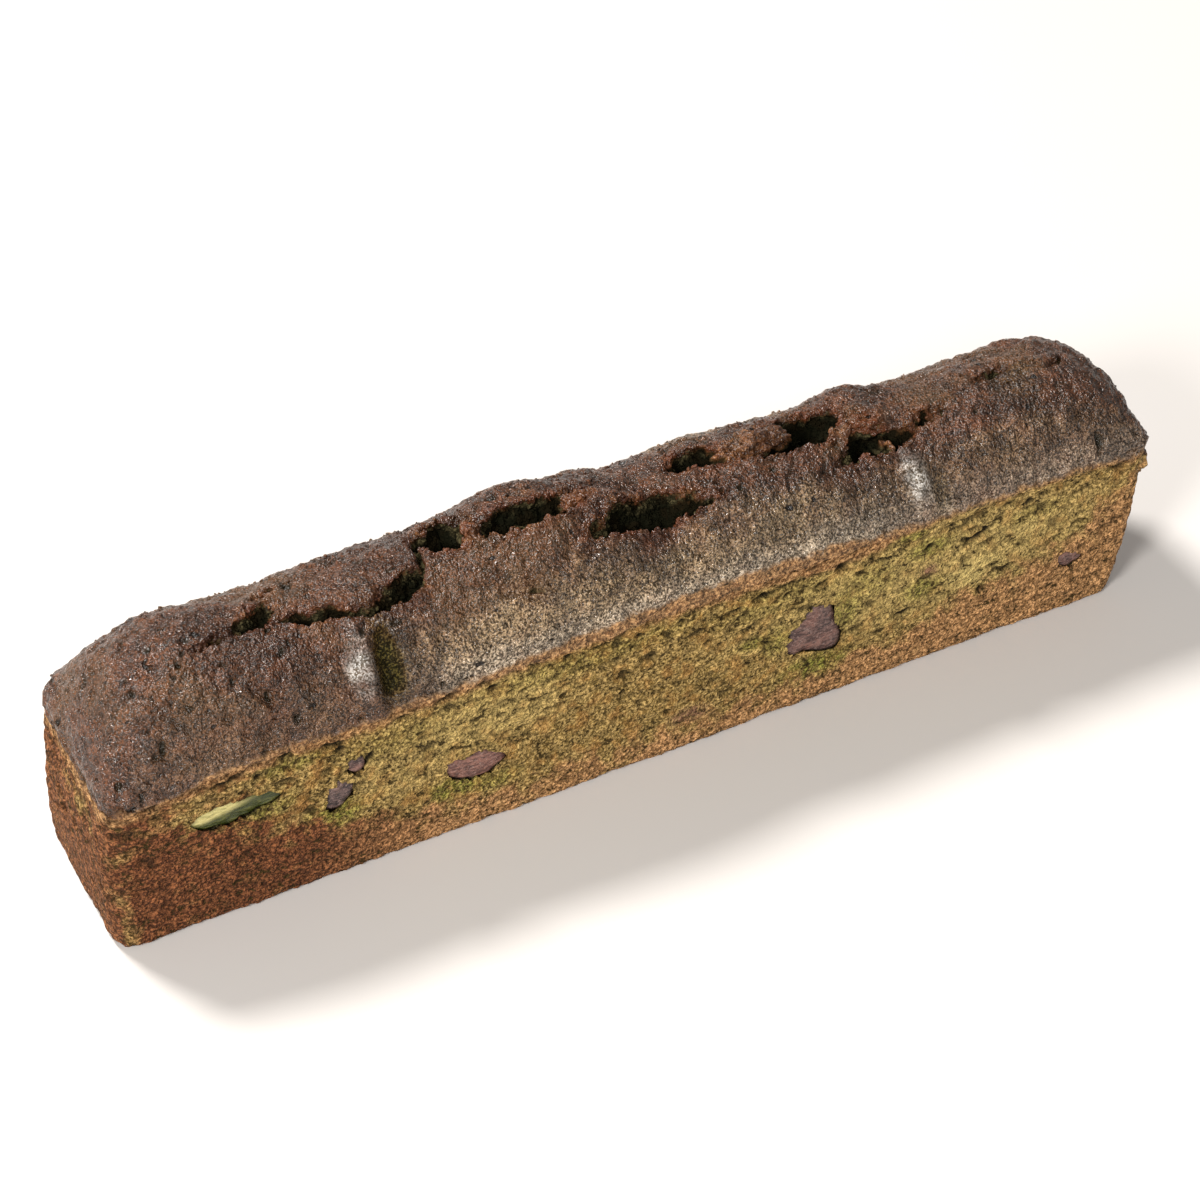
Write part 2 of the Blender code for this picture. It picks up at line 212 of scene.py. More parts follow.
draft = mesh_of("draft", smooth, np.concatenate((dome_faces, wall_faces.reshape(-1, 4))).tolist())
outward = np.zeros(len(smooth) * 3)
draft.vertex_normals.foreach_get("vector", outward)
outward = outward.reshape(-1, 3)
bpy.data.meshes.remove(draft)

# ---------------------------------------------------------------------------------------------
# The baked surface. The crust swells and sags in broad lumps and is grainy like coarse sugar;
# the walls are open crumb pressed smooth by the tin, with pores, and with gaps torn just under
# the rim. All of it is relief pushed in or out of the form above, and painted shade is laid in
# its pores, creases, pits, holes and gaps.

# Broad waves of the dome and of the walls: (wavelength, depth) in metres.
DOME_WAVES = ((0.019, 0.00070), (0.0066, 0.00055), (0.0041, 0.00030))
WALL_WAVES = ((0.024, 0.00035), (0.007, 0.00016))
# Where the dome swells or sinks: (x, y, reach along x, reach along y, height) in mm.
SWELLINGS = (
    (-61.8, -16.5, 3.0, 5.5, 2.3), (-57.8, -17.2, 2.7, 5.0, -1.9), (66.6, -16.5, 3.0, 5.5, 1.9),
    (72.0, -16.5, 3.2, 4.5, -0.8), (62.0, -0.3, 5.4, 3.6, 3.3), (63.0, 8.5, 9.0, 5.5, 3.6),
    (-44.5, -2.6, 3.4, 2.6, 1.3), (-20.0, 5.5, 11.0, 3.4, 1.5), (4.0, -4.2, 13.0, 2.4, 1.0),
    (45.0, -6.5, 6.0, 2.6, 0.9),
)
# Depths in mm: of lumps, grains and specks in the crust and in the crumb, and of what is sunk in them.
CRUST_GRAIN = (0.58, 0.36, 0.22)
CRUMB_GRAIN = (0.20, 0.24, 0.16)
CREASE_DEPTH = 0.60
PIT_DEPTH = 0.70
PORE_DEPTH = 0.36
RIFT_DEPTH = 0.65
# Small holes in the crust: (x, y, radius, depth) in mm.
CRUST_HOLES = (
    (111.9, -19.3, 1.2, 1.2), (-105.8, -18.0, 1.1, 1.0), (-114.0, 3.1, 1.0, 0.9), (26.8, -10.3, 0.8, 0.8),
    (-83.2, -17.1, 0.8, 0.9), (-89.0, -14.0, 0.7, 0.7), (-77.5, -11.5, 0.7, 0.7), (-98.0, -8.5, 0.9, 0.9),
    (-102.0, -2.0, 1.0, 0.9), (36.0, -8.0, 0.8, 0.8), (86.0, -8.5, 0.7, 0.6), (104.0, 2.5, 0.9, 0.8),
    (-70.0, 3.5, 1.1, 1.0), (-108.0, -9.0, 0.9, 0.8), (-24.0, 3.5, 1.3, 1.6),
)
# Gaps torn in the front wall: (x, z, half length, half height, depth, tilt in degrees) in mm.
WALL_GAPS = (
    (-81.9, 38.9, 1.6, 0.8, 1.2, 0), (-71.5, 37.5, 2.4, 0.7, 1.2, -4), (-70.2, 35.5, 1.4, 0.6, 1.0, 0),
    (-95.5, 37.6, 1.8, 0.6, 0.9, 8), (-45.9, 39.7, 1.9, 0.6, 1.1, 4), (-35.8, 37.6, 1.6, 0.7, 1.2, 0),
    (-18.7, 39.1, 1.1, 0.7, 1.0, 0), (-11.4, 38.9, 2.8, 0.35, 0.9, 2), (-32.3, 35.0, 1.0, 0.4, 0.8, 0),
    (-45.6, 24.5, 0.6, 0.5, 0.8, 0), (-29.8, 23.6, 0.9, 0.6, 1.0, 0), (-52.5, 28.3, 0.7, 0.5, 0.8, 0),
    (-6.0, 23.6, 0.8, 0.5, 0.8, 0), (-63.9, 30.5, 0.8, 1.4, 1.0, -30), (-26.0, 40.0, 0.9, 0.4, 0.7, 0),
    (-56.3, 38.6, 1.4, 0.4, 0.8, 0), (-88.0, 36.0, 1.2, 0.5, 0.8, 0), (-2.0, 38.0, 1.4, 0.4, 0.8, 0),
    (7.9, 37.5, 1.3, 0.5, 0.9, 0), (29.0, 36.2, 1.6, 0.5, 0.9, 0), (33.5, 37.2, 1.5, 0.4, 0.8, 10),
    (42.0, 34.0, 1.6, 0.6, 1.0, 12), (46.5, 36.5, 1.7, 0.6, 1.2, -8), (57.5, 35.0, 2.6, 0.4, 1.0, -4),
    (62.6, 36.2, 1.7, 0.5, 1.1, 22), (68.9, 33.7, 1.4, 0.9, 0.9, 35), (81.6, 32.0, 4.2, 0.8, 0.9, 20),
    (63.2, 17.0, 2.0, 0.5, 0.9, 10), (50.6, 17.2, 2.0, 0.4, 0.9, 4), (29.2, 22.4, 1.3, 0.5, 0.8, -20),
    (83.5, 15.3, 0.8, 0.8, 1.0, 0), (112.6, 9.3, 0.7, 0.6, 0.8, 0), (23.4, 11.2, 0.7, 0.5, 0.8, 0),
    (21.0, 35.0, 1.5, 0.4, 0.7, 6), (74.0, 38.0, 1.2, 0.5, 0.8, 0), (94.0, 36.5, 1.8, 0.4, 0.7, 6),
)
# Holes in the left end wall: (y, z, half width, half height, depth) in mm.
END_HOLES = (
    (7.0, 23.3, 2.6, 1.1, 1.9), (5.0, 20.0, 1.5, 1.4, 1.6), (9.6, 31.0, 1.2, 0.8, 1.0),
    (-9.7, 12.1, 1.4, 0.7, 1.0),
)
# Faces that look this squarely to the front or to an end count as wall there.
FACING = 0.75


def rough(wavelength, seed, stretch=(1.0, 1.0, 1.0), places=smooth):
    """Smooth noise from about -1 to 1 at every place on the loaf."""
    scaled = places / (np.array(stretch) * wavelength) + np.array(seed)
    return np.array([noise.noise(place) for place in scaled.tolist()])


def oval(across, up, x, z, reach_x, reach_z):
    """How far places lie from the middle of an oval, squared: 1 on its edge."""
    return ((across - x) / reach_x) ** 2 + ((up - z) / reach_z) ** 2


x_mm, y_mm, z_mm = (smooth / MM).T
on_front = (outward[:, 1] < -FACING) & (z_mm > 1.0)
over_rim = z_mm - rim_height(smooth[:, 0]) / MM
dome_share = eased(over_rim, -1.5, 2.5)

push = np.zeros(len(smooth))
for share, waves in ((dome_share, DOME_WAVES), (1.0 - dome_share, WALL_WAVES)):
    for layer, (wavelength, depth) in enumerate(waves):
        push += share * depth * rough(wavelength, (7.3 * layer, 1.7, 4.1))
for *place, height in SWELLINGS:
    push += dome_share * height * MM * np.exp(-oval(x_mm, y_mm, *place))

# Grains of crust, and crumb with pores.
lumps = rough(0.0029, (3.1, 0.2, 9.4))
grains = rough(0.0015, (8.6, 5.5, 1.2))
specks = rough(0.0009, (1.9, 7.7, 3.3))
push += dome_share * MM * (CRUST_GRAIN[0] * lumps + CRUST_GRAIN[1] * grains + CRUST_GRAIN[2] * specks)
creases = 1.0 - eased(np.abs(rough(0.0068, (4.9, 6.3, 2.2)) + 0.12 * lumps), 0.0, 0.10)
creases *= eased(rough(0.015, (9.5, 0.4, 3.6)), -0.05, 0.25) * eased(over_rim, 8.0, 14.0)
pits = eased(rough(0.0026, (0.6, 3.7, 5.2)), 0.50, 0.60) * dome_share * (0.35 + 0.65 * eased(-x_mm, 20.0, 60.0))
push -= MM * (CREASE_DEPTH * creases + PIT_DEPTH * pits)
pores = eased(rough(0.0016, (4.4, 2.8, 6.1), (1.35, 1.3, 0.85)), 0.22, 0.50)
open_crumb = eased(rough(0.011, (3.8, 9.9, 0.7)) + 0.035 * (z_mm - 20.0), -0.45, 0.55)
rifts = eased(rough(0.0026, (7.4, 0.8, 6.6), (1.5, 1.3, 0.7)), 0.28, 0.46) * open_crumb * (1.0 - dome_share)
pores *= 0.35 + 0.65 * open_crumb
relief = CRUMB_GRAIN[0] * lumps + CRUMB_GRAIN[1] * grains + CRUMB_GRAIN[2] * specks
push += (1.0 - dome_share) * MM * (relief - PORE_DEPTH * pores - RIFT_DEPTH * rifts)
# Painted shade in the pores, creases, pits and rifts, and below in the holes and gaps.
painted_shade = np.maximum((1.0 - dome_share) * pores * 0.45, np.maximum(0.55 * creases, 0.85 * pits))
painted_shade = np.maximum(painted_shade, 0.75 * rifts)

wobble = 1.0 + 0.5 * rough(0.0016, (2.2, 6.6, 0.4))
# Holes and gaps sink into the surface and take painted shade.
for x, y, radius, depth in CRUST_HOLES:
    away = np.hypot(x_mm - x, y_mm - y) / (radius * wobble)
    shaded_hole = (1.0 - eased(away, 0.5, 1.1)) * dome_share
    push -= shaded_hole * depth * MM
    painted_shade = np.maximum(painted_shade, shaded_hole)
for y, z, half_width, half_height, depth in END_HOLES:
    away = np.hypot((y_mm - y) / half_width, (z_mm - z) / half_height) / (1.2 * wobble)
    shaded_hole = (1.0 - eased(away, 0.5, 1.15)) * (outward[:, 0] < -FACING)
    push -= shaded_hole * depth * MM
    painted_shade = np.maximum(painted_shade, shaded_hole)
for x, z, half_length, half_height, depth, tilt in WALL_GAPS:
    turn = math.radians(tilt)
    along = (x_mm - x) * math.cos(turn) + (z_mm - z) * math.sin(turn)
    up = (z_mm - z) * math.cos(turn) - (x_mm - x) * math.sin(turn)
    away = np.hypot(along / (1.2 * half_length), up / (1.45 * half_height)) / wobble
    gap = (1.0 - eased(away, 0.5, 1.15)) * on_front
    push -= gap * depth * MM
    painted_shade = np.maximum(painted_shade, gap)

# ---------------------------------------------------------------------------------------------
# Where the oven and the tin have coloured the loaf: olive crumb in the walls, an orange-brown
# band under the rim, the dark crust above it, and a browned zone along the foot and the ends.
# Each line is a row of (x, height) in mm, taken at the front wall and used on the back too.

CRUMB_TOP = (
    (-121, 34.8), (-112, 36.4), (-105, 37.3), (-97, 38.0), (-83, 38.4), (-64, 38.2), (-51, 39.2), (-29, 40.0),
    (2, 40.4), (21, 39.0), (34, 38.1), (47, 37.2), (56, 38.5), (61, 40.6), (72, 41.0), (85, 40.8), (110, 40.0),
    (123, 38.0),
)
CRUST_FOOT = (
    (-120, 38.4), (-108, 38.8), (-97, 41.3), (-83, 41.8), (-64, 40.9), (-51, 42.0), (-29, 43.0), (2, 44.3),
    (30, 44.5), (46, 44.0), (59, 42.2), (84, 41.6), (110, 41.2), (123, 39.4),
)
BROWN_TOP = (
    (-121, 38.0), (-110, 34.0), (-104, 29.5), (-92, 24.0), (-80, 17.5), (-67, 13.5), (-54, 8.4), (-35, 5.9),
    (2, 5.0), (34, 5.9), (59, 8.4), (78, 12.8), (91, 15.3), (104, 19.1), (116, 26.7), (123, 33.0),
)
# Crumb that the green tea still shows through: (x, z, reach along x, reach along z, strength) in mm.
GREEN_PATCHES = (
    (-93.0, 27.0, 12.0, 5.0, 0.8), (-72.5, 18.0, 6.5, 4.0, 1.0), (-80.5, 36.5, 8.0, 2.4, 0.6),
    (-45.5, 13.5, 7.0, 3.2, 1.0), (-36.0, 11.5, 6.0, 2.6, 0.6), (41.5, 10.5, 9.0, 3.6, 1.0),
    (48.0, 24.0, 4.0, 6.0, 0.7), (31.0, 22.0, 4.0, 4.0, 0.6), (26.2, 23.6, 4.5, 1.6, 0.8),
    (67.7, 22.3, 5.0, 3.0, 0.8), (68.9, 33.7, 6.0, 3.0, 0.8), (64.0, 39.0, 4.0, 1.6, 0.8),
    (54.0, 30.0, 7.0, 5.0, 0.4), (83.5, 15.3, 3.0, 2.0, 0.4), (-15.0, 36.5, 26.0, 3.0, 0.35),
    (30.0, 34.0, 16.0, 4.0, 0.3), (-60.0, 33.0, 12.0, 4.0, 0.25), (96.0, 33.0, 8.0, 2.5, 0.3),
)
# Crumb that stayed pale, and crumb that the beans stained, given in the same way.
PALE_PATCHES = (
    (70.0, 27.0, 46.0, 13.0, 0.45), (-38.0, 30.0, 20.0, 9.0, 0.40), (81.0, 22.0, 9.0, 4.6, 1.0),
    (92.0, 29.0, 10.0, 3.5, 0.6), (-58.0, 24.0, 12.0, 8.0, 0.25),
)
MAUVE_PATCHES = ((10.0, 9.6, 5.0, 2.4, 0.8), (69.2, 26.7, 2.4, 2.0, 0.9), (101.0, 12.5, 7.0, 2.4, 0.5))


def spots(patches):
    """How strongly the patches show, on the front wall and, seen from behind, on the back one."""
    total = np.zeros(len(smooth))
    for *place, strength in patches:
        away = oval(from_left, z_mm, *place)
        total = np.maximum(total, strength * np.exp(-away * away))
    return total


# Each place's distance to the right of the middle, in mm, for someone who looks at its side.
from_left = x_mm * np.where(smooth[:, 1] < 0, 1, -1)
seen_height = z_mm + 0.85 * np.maximum(WIDTH / 2 / MM - np.abs(y_mm), 0.0) * (over_rim > -1.0)
ragged = 0.7 * rough(0.0062, (5.1, 3.3, 8.0)) + 0.9 * rough(0.0021, (0.7, 9.1, 2.5))
blotch = rough(0.011, (6.2, 1.8, 3.9)) + 0.7 * rough(0.0045, (2.5, 4.9, 7.7))
crust_share = eased(seen_height - level_along(CRUST_FOOT, smooth[:, 0]) + ragged, -0.8, 1.0)
band_share = eased(seen_height - level_along(CRUMB_TOP, smooth[:, 0]) + ragged, -1.2, 1.0)
brown_edge = level_along(BROWN_TOP, smooth[:, 0]) + 3.2 * blotch
browned = eased(brown_edge - z_mm, -8.0, 6.0)
deeply = eased(-x_mm + 3.0 * blotch, 38.0, 82.0)
end_faces = eased(np.abs(outward[:, 0]), 0.6, 0.9)
browned = np.maximum(browned, end_faces * (0.80 + 0.2 * blotch))
browned = np.maximum(browned, 0.35 * eased(-x_mm, 55.0, 100.0) * (1.0 + 0.6 * blotch))
deeply = np.maximum(deeply, end_faces * 0.55)
deeply *= 1.0 - 0.08 * end_faces * (x_mm < 0) - 0.35 * end_faces * (x_mm > 0)
browned = np.maximum(browned, eased(-x_mm + 2.5 * blotch, 99.0, 112.0) * 0.85)

# On the left end, the edge by the front wall is lighter, and so is a golden patch under the rim.
left_end = eased(-x_mm, 113.0, 118.0)
corner_light = 0.28 * np.exp(-(((y_mm + 19.6) / 1.1) ** 2)) * left_end
golden = 0.6 * np.exp(-oval(y_mm, z_mm, -5.0, 31.0, 7.0, 5.0)) * left_end
browned = browned * (1.0 - np.maximum(corner_light, golden))
on_walls = 1.0 - np.minimum(end_faces + crust_share, 1.0)

# The crust is matt and darkest on its crest. Low on the slopes it is greased by the tin, and in
# the middle of the loaf it is paler and olive there; the paler slope, and more so its greased foot,
# take colours that are partly painted sheen. Three hollows in its front slope stayed green, their
# dark partly painted shade, and two spots are wet with fat and carry a painted glint:
# (x, z, reach along x, reach along z, strength) in mm.
GREEN_SHADED_HOLLOWS = ((-57.2, 51.0, 3.2, 7.5, 1.0), (71.8, 47.0, 2.4, 4.0, 0.40), (98.0, 62.0, 6.0, 5.0, 0.35))
WET_AND_GLINT_SPOTS = ((-63.4, 53.0, 4.0, 8.0, 1.0), (66.4, 51.5, 4.8, 8.0, 0.72))
# The paler slopes face to the front or the back: their colour is partly olive, partly painted sheen.
down_slope = eased(np.abs(outward[:, 1]) + 0.14 * blotch + 0.16 * eased(x_mm, 5.0, 35.0), 0.60, 1.05)
mid_length = (1.0 - 0.6 * eased(from_left, 48.0, 70.0)) * (0.15 + 0.85 * eased(from_left, -60.0, -40.0))
moss_and_shade = np.zeros(len(smooth))
for *place, strength in GREEN_SHADED_HOLLOWS:
    away = oval(x_mm, z_mm, *place)
    hollow = strength * 1.25 * np.exp(-(away**1.4)) * (1.0 + 0.35 * ragged)
    moss_and_shade = np.maximum(moss_and_shade, np.minimum(hollow, strength) * (y_mm < 0))
greased = np.maximum(0.9 - eased(over_rim, 4.0, 15.0), eased(-x_mm + 2.0 * blotch, 94.0, 106.0))
# The wet spots get lower roughness and, in their colour, a painted glint.
wet_and_glint = 0.35 * eased(-x_mm + 3.0 * blotch, 98.0, 110.0) * dome_share
for *place, strength in WET_AND_GLINT_SPOTS:
    fat = strength * np.exp(-oval(x_mm, z_mm, *place)) * (1.0 + 0.4 * blotch + 0.3 * ragged)
    wet_and_glint = np.maximum(wet_and_glint, fat * (y_mm < 0))
shades = {
    "greased": np.clip(greased + 0.25 * blotch, 0.0, 1.0),
    "paler_and_sheen": np.clip(down_slope * mid_length + 0.15 * blotch * down_slope, 0.0, 1.0),
    "low": (1.0 - eased(over_rim + 1.5 * blotch, 3.0, 11.0)) * eased(from_left, -60.0, -40.0),
    "moss_and_shade": moss_and_shade,
    "wet_and_glint": np.clip(wet_and_glint, 0.0, 1.0),
    "deeply": deeply,
    "crust": crust_share,
    "band": band_share,
    "browned": np.clip(browned, 0.0, 1.0),
    # Painted shade in pores, creases, pits, holes and gaps.
    "shaded_hole": np.clip(painted_shade, 0.0, 1.0),
    "green": spots(GREEN_PATCHES) * on_walls,
    "pale": spots(PALE_PATCHES) * on_walls,
    "mauve": spots(MAUVE_PATCHES) * on_walls,
}

# ---------------------------------------------------------------------------------------------
# The crust: baked dark and granular, and split open where the dough kept rising under it.
# It is one closed piece: the dome, with the splits cut into it, on a hidden base at the rim.

# Each split is a path of (x, y, half width, depth) in mm over the dome.
SPLITS = (
    ((-94.0, -6.8, 0.4, 1.0), (-89.0, -5.6, 0.7, 1.8), (-85.5, -5.0, 0.5, 1.4)),
    ((-85.5, -5.0, 0.5, 1.2), (-82.0, -4.2, 1.2, 3.0), (-78.6, -2.8, 2.4, 5.0), (-75.2, -0.9, 0.9, 2.0)),
    (
        (-75.5, -5.1, 0.6, 1.5), (-71.2, -6.6, 1.4, 4.5), (-67.0, -7.5, 1.2, 4.0), (-61.3, -9.2, 0.9, 3.0),
        (-57.4, -9.6, 1.0, 3.5), (-52.0, -8.7, 1.8, 5.5), (-47.0, -7.4, 2.1, 6.0), (-44.0, -6.2, 0.8, 3.0),
    ),
    ((-44.8, -6.6, 0.7, 2.6), (-43.8, -4.2, 0.5, 2.2), (-43.4, -1.2, 0.5, 2.2), (-42.6, 1.4, 0.8, 2.5)),
    ((-77.8, 3.0, 0.4, 1.0), (-75.0, 3.6, 0.8, 2.0), (-72.6, 4.0, 0.4, 1.0)),
    ((-43.0, 2.0, 0.9, 2.5), (-39.6, 0.8, 3.6, 7.5), (-35.6, 0.7, 4.6, 9.0), (-31.2, 1.0, 1.6, 4.0)),
    (
        (-29.6, -2.7, 1.0, 3.5), (-24.6, -3.4, 2.8, 8.0), (-19.2, -4.0, 3.0, 8.5), (-13.4, -3.2, 2.1, 6.0),
        (-8.0, -2.2, 2.0, 4.5), (-3.6, -1.0, 0.8, 2.0),
    ),
    (
        (-9.8, -11.0, 0.5, 1.2), (-4.6, -10.4, 1.7, 4.0), (1.4, -8.8, 3.0, 7.5), (7.0, -7.9, 3.3, 8.0),
        (13.4, -8.5, 2.2, 5.0), (20.6, -10.2, 0.8, 2.2), (23.2, -10.4, 0.4, 1.0),
    ),
    ((22.4, -10.2, 0.35, 0.9), (23.2, -8.8, 0.4, 1.0), (23.6, -7.2, 0.25, 0.7)),
    ((15.8, 2.2, 0.9, 2.5), (19.6, 1.6, 2.9, 7.0), (24.6, 0.2, 2.9, 7.0), (29.0, -2.0, 1.0, 2.5)),
    (
        (31.0, -2.4, 0.6, 1.5), (36.0, -2.0, 1.7, 4.0), (42.4, -0.4, 4.4, 9.0), (48.4, 1.2, 5.6, 10.0),
        (53.4, 2.1, 3.4, 6.0), (57.4, 3.1, 0.9, 2.0),
    ),
    (
        (51.6, -10.2, 0.5, 1.2), (55.8, -8.4, 1.7, 4.0), (60.4, -6.6, 3.8, 8.5), (64.4, -8.0, 2.2, 6.0),
        (69.0, -7.9, 1.4, 4.0), (72.4, -7.0, 0.5, 1.2),
    ),
    ((71.4, -5.2, 0.5, 1.2), (75.2, -5.2, 1.4, 4.0), (80.6, -4.7, 0.5, 1.2)),
    ((90.8, -1.0, 0.5, 1.2), (94.8, -0.5, 1.2, 3.5), (99.6, 0.3, 0.5, 1.2)),
    ((108.2, -2.9, 0.25, 0.7), (110.6, -2.2, 0.4, 1.0), (112.8, -1.2, 0.25, 0.7)),
    ((-30.5, -15.0, 0.4, 1.0), (-25.2, -15.9, 0.8, 2.4), (-20.9, -17.2, 0.4, 1.0)),
    ((-12.4, -14.1, 0.25, 0.6), (-10.8, -13.9, 0.45, 1.0), (-9.2, -13.8, 0.25, 0.6)),
    ((-86.0, -15.4, 0.25, 0.6), (-83.6, -17.0, 0.45, 1.1), (-82.8, -18.2, 0.3, 0.8)),
)
STATION_STEP = 0.45
CUTTER_HEIGHT = 5.0
# Once round a split's section: (side, share of the depth), negative shares standing above the crust.
SECTION = (
    (-1.0, -1.0), (-0.4, -1.0), (0.4, -1.0), (1.0, -1.0), (1.0, -0.5), (1.0, 0.0), (1.08, 0.10), (1.12, 0.22),
    (1.08, 0.36), (0.98, 0.50), (0.82, 0.64), (0.62, 0.78), (0.38, 0.90), (0.12, 0.98),
    (-0.12, 0.98), (-0.38, 0.90), (-0.62, 0.78), (-0.82, 0.64), (-0.98, 0.50), (-1.08, 0.36), (-1.12, 0.22),
    (-1.08, 0.10), (-1.0, 0.0), (-1.0, -0.5),
)


def join_rings(bm, rings):
    """Faces between each ring of points and the next one, all the way round."""
    for ring, following in zip(rings, rings[1:]):
        for here in range(len(ring)):
            there = (here + 1) % len(ring)
            bm.faces.new((ring[here], ring[there], following[there], following[here]))


def as_mesh(bm, name):
    made = bpy.data.meshes.new(name)
    bm.to_mesh(made)
    bm.free()
    return made


def stand(name, mesh, collection=bpy.context.scene.collection):
    made = bpy.data.objects.new(name, mesh)
    collection.objects.link(made)
    return made


def path_points(path, step):
    """Points at even steps along a path, drawn as a smooth curve through its points."""
    marks = np.array(path, float)
    arc = np.concatenate(([0.0], np.cumsum(np.hypot(*np.diff(marks[:, :2], axis=0).T))))
    count = max(int(arc[-1] / step), 8)
    places = np.linspace(0.0, arc[-1], count + 1)
    return np.stack([np.interp(places, arc, marks[:, column]) for column in range(marks.shape[1])], axis=-1)


def split_cutter(path, seed, collection):
    """A ragged keel that follows the path: as wide as the split at the crust, undercut just below it."""
    line = path_points(path, STATION_STEP)
    line[:, 2] += 0.22 * np.minimum(line[:, 2], 3.0)
    ahead = np.gradient(line[:, :2], axis=0)
    ahead /= np.maximum(np.hypot(*ahead.T), 1e-9)[:, None]
    aside = np.stack((-ahead[:, 1], ahead[:, 0]), axis=-1)
    bm = bmesh.new()
    rings = []
    for place, (x, y, half_width, depth) in enumerate(line):
        ring = []
        for side, share in SECTION:
            flank = math.copysign(1.0, side)
            along = place * STATION_STEP
            tear = 0.9 * noise.noise((along / 4.7, flank * 3.0, seed))
            tear += 0.6 * noise.noise((along / 2.0, flank, seed))
            tear += 0.3 * noise.noise((along / 0.9, flank * 5.0, seed + 9.0))
            tear *= min(0.35 + half_width / 2.0, 1.0)
            reach = max(half_width * abs(side) + tear, 0.1 * abs(side))
            edge = Vector((x, y)) + Vector(aside[place]) * flank * max(half_width + tear, 0.15)
            flat = Vector((x, y)) + Vector(aside[place]) * flank * reach
            top = float(dome_height(np.array([edge.x * MM]), np.array([edge.y * MM]))[0])
            if share < 0:
                point = Vector((flat.x, flat.y, top / MM - CUTTER_HEIGHT * share))
            else:
                middle = float(dome_height(np.array([x * MM]), np.array([y * MM]))[0])
                point = Vector((flat.x, flat.y, (top + (middle - top) * share) / MM - depth * share))
                crumbly = min(half_width, 1.0) * min(share / 0.2, 1.0)
                point += noise.noise_vector(point / 2.9 + Vector((seed, 0, 0))) * 1.1 * crumbly
                point += noise.noise_vector(point / 1.1) * 0.5 * crumbly
            ring.append(bm.verts.new(point * MM - Vector(MIDDLE)))
        rings.append(ring)
    join_rings(bm, rings)
    for ring in (rings[0], rings[-1]):
        bm.faces.new(ring)
    bm.normal_update()
    bmesh.ops.recalc_face_normals(bm, faces=bm.faces)
    bmesh.ops.triangulate(bm, faces=bm.faces)
    stand("split", as_mesh(bm, "split"), collection)


def beside_splits():
    """For each point of the dome, how far in mm the nearest split's edge is, and its half width there."""
    nearest, width = np.full(len(smooth), 50.0), np.ones(len(smooth))
    for path in SPLITS:
        for start, end in zip(path, path[1:]):
            run = np.array(end[:2]) - np.array(start[:2])
            share = ((x_mm - start[0]) * run[0] + (y_mm - start[1]) * run[1]) / run.dot(run)
            share = np.clip(share, 0.0, 1.0)
            away = np.hypot(x_mm - start[0] - run[0] * share, y_mm - start[1] - run[1] * share)
            half_width = start[2] + (end[2] - start[2]) * share
            width = np.where(away - half_width < nearest, half_width, width)
            nearest = np.minimum(nearest, away - half_width)
    return nearest, width


# The crust's edge stands a little proud beside a split, and is crumbly and lighter there.
from_split, split_width = beside_splits()
from_split = np.maximum(from_split + 0.5 * grains, 0.0)
lip = np.exp(-((from_split / (0.6 + 0.5 * np.minimum(split_width, 3.0))) ** 2)) * dome_share
lip *= np.clip(split_width / 1.6, 0.15, 1.0)
rolled = np.exp(-((from_split / 0.45) ** 2)) * dome_share
push += lip * MM * (0.30 + 0.70 * lumps + 0.60 * grains + 0.35 * specks)
push -= rolled * MM * 0.75
shades["lip"] = lip
shades["orange"] = lip * eased(rough(0.0042, (1.3, 8.8, 6.4)) + 0.4 * grains, 0.0, 0.5) * 0.55

baked = smooth + outward * push[:, None] - MIDDLE
baked[:, 2] = np.maximum(baked[:, 2], 0.0)
foot_row = wall_ids[-1]
baked[foot_row, 2] = 0.0

surface_tree = kdtree.KDTree(len(baked))
for number, place in enumerate(baked.tolist()):
    surface_tree.insert(place, number)
surface_tree.balance()


def points_of(mesh):
    places = np.zeros(len(mesh.vertices) * 3)
    mesh.vertices.foreach_get("co", places)
    return places.reshape(-1, 3)


def lay_on(mesh, name, values):
    mesh.attributes.new(name, "FLOAT", "POINT").data.foreach_set("value", values)


def shade_in(mesh):
    """Gives the mesh the loaf's shades, and how deep in mm each point lies inside a split or socket."""
    places = points_of(mesh)
    found = [surface_tree.find(place)[1:] for place in places.tolist()]
    nearest = np.array([number for number, _ in found])
    distance = np.array([distance for _, distance in found]) / MM
    inward = ((baked[nearest] - places) * outward[nearest]).sum(axis=1)
    for name, values in shades.items():
        lay_on(mesh, name, values[nearest])
    lay_on(mesh, "torn", np.where(inward > 0.1 * MM, distance - 0.15, 0.0).clip(0.0))


def cut_out(piece, collection):
    """Cuts everything in the collection out of the piece and keeps the result as a plain mesh."""
    cutting = piece.modifiers.new("cut", "BOOLEAN")
    cutting.operation = "DIFFERENCE"
    cutting.operand_type = "COLLECTION"
    cutting.collection = collection
    cutting.solver = "MANIFOLD"
    cut = bpy.data.meshes.new_from_object(piece.evaluated_get(bpy.context.evaluated_depsgraph_get()))
    piece.modifiers.remove(cutting)
    uncut = piece.data
    piece.data = cut
    bpy.data.meshes.remove(uncut)
    for cutter in list(collection.objects):
        bpy.data.meshes.remove(cutter.data)
    bpy.data.collections.remove(collection)


def new_collection(name):
    made = bpy.data.collections.new(name)
    bpy.context.scene.collection.children.link(made)
    return made


# The inner corner of each piece's hidden base, in the tin frame: under the dome, and in each half.
base_points = np.array((
    (0.0, 0.0, 0.0400), (-0.092, -0.006, 0.0395), (-0.092, -0.006, 0.0), (0.092, 0.006, 0.0395), (0.092, 0.006, 0.0),
))
everything = np.concatenate((baked, base_points - MIDDLE * (1.0, 1.0, 0.0)))
base_ids = len(baked) + np.arange(len(base_points))


def fan(centre, rim, upward):
    """Faces from the centre to each step of the closed rim, which runs round against the clock."""
    steps = [(here, there) if upward else (there, here) for here, there in zip(rim, np.roll(rim, -1))]
    return [(centre, first, second) for first, second in steps]


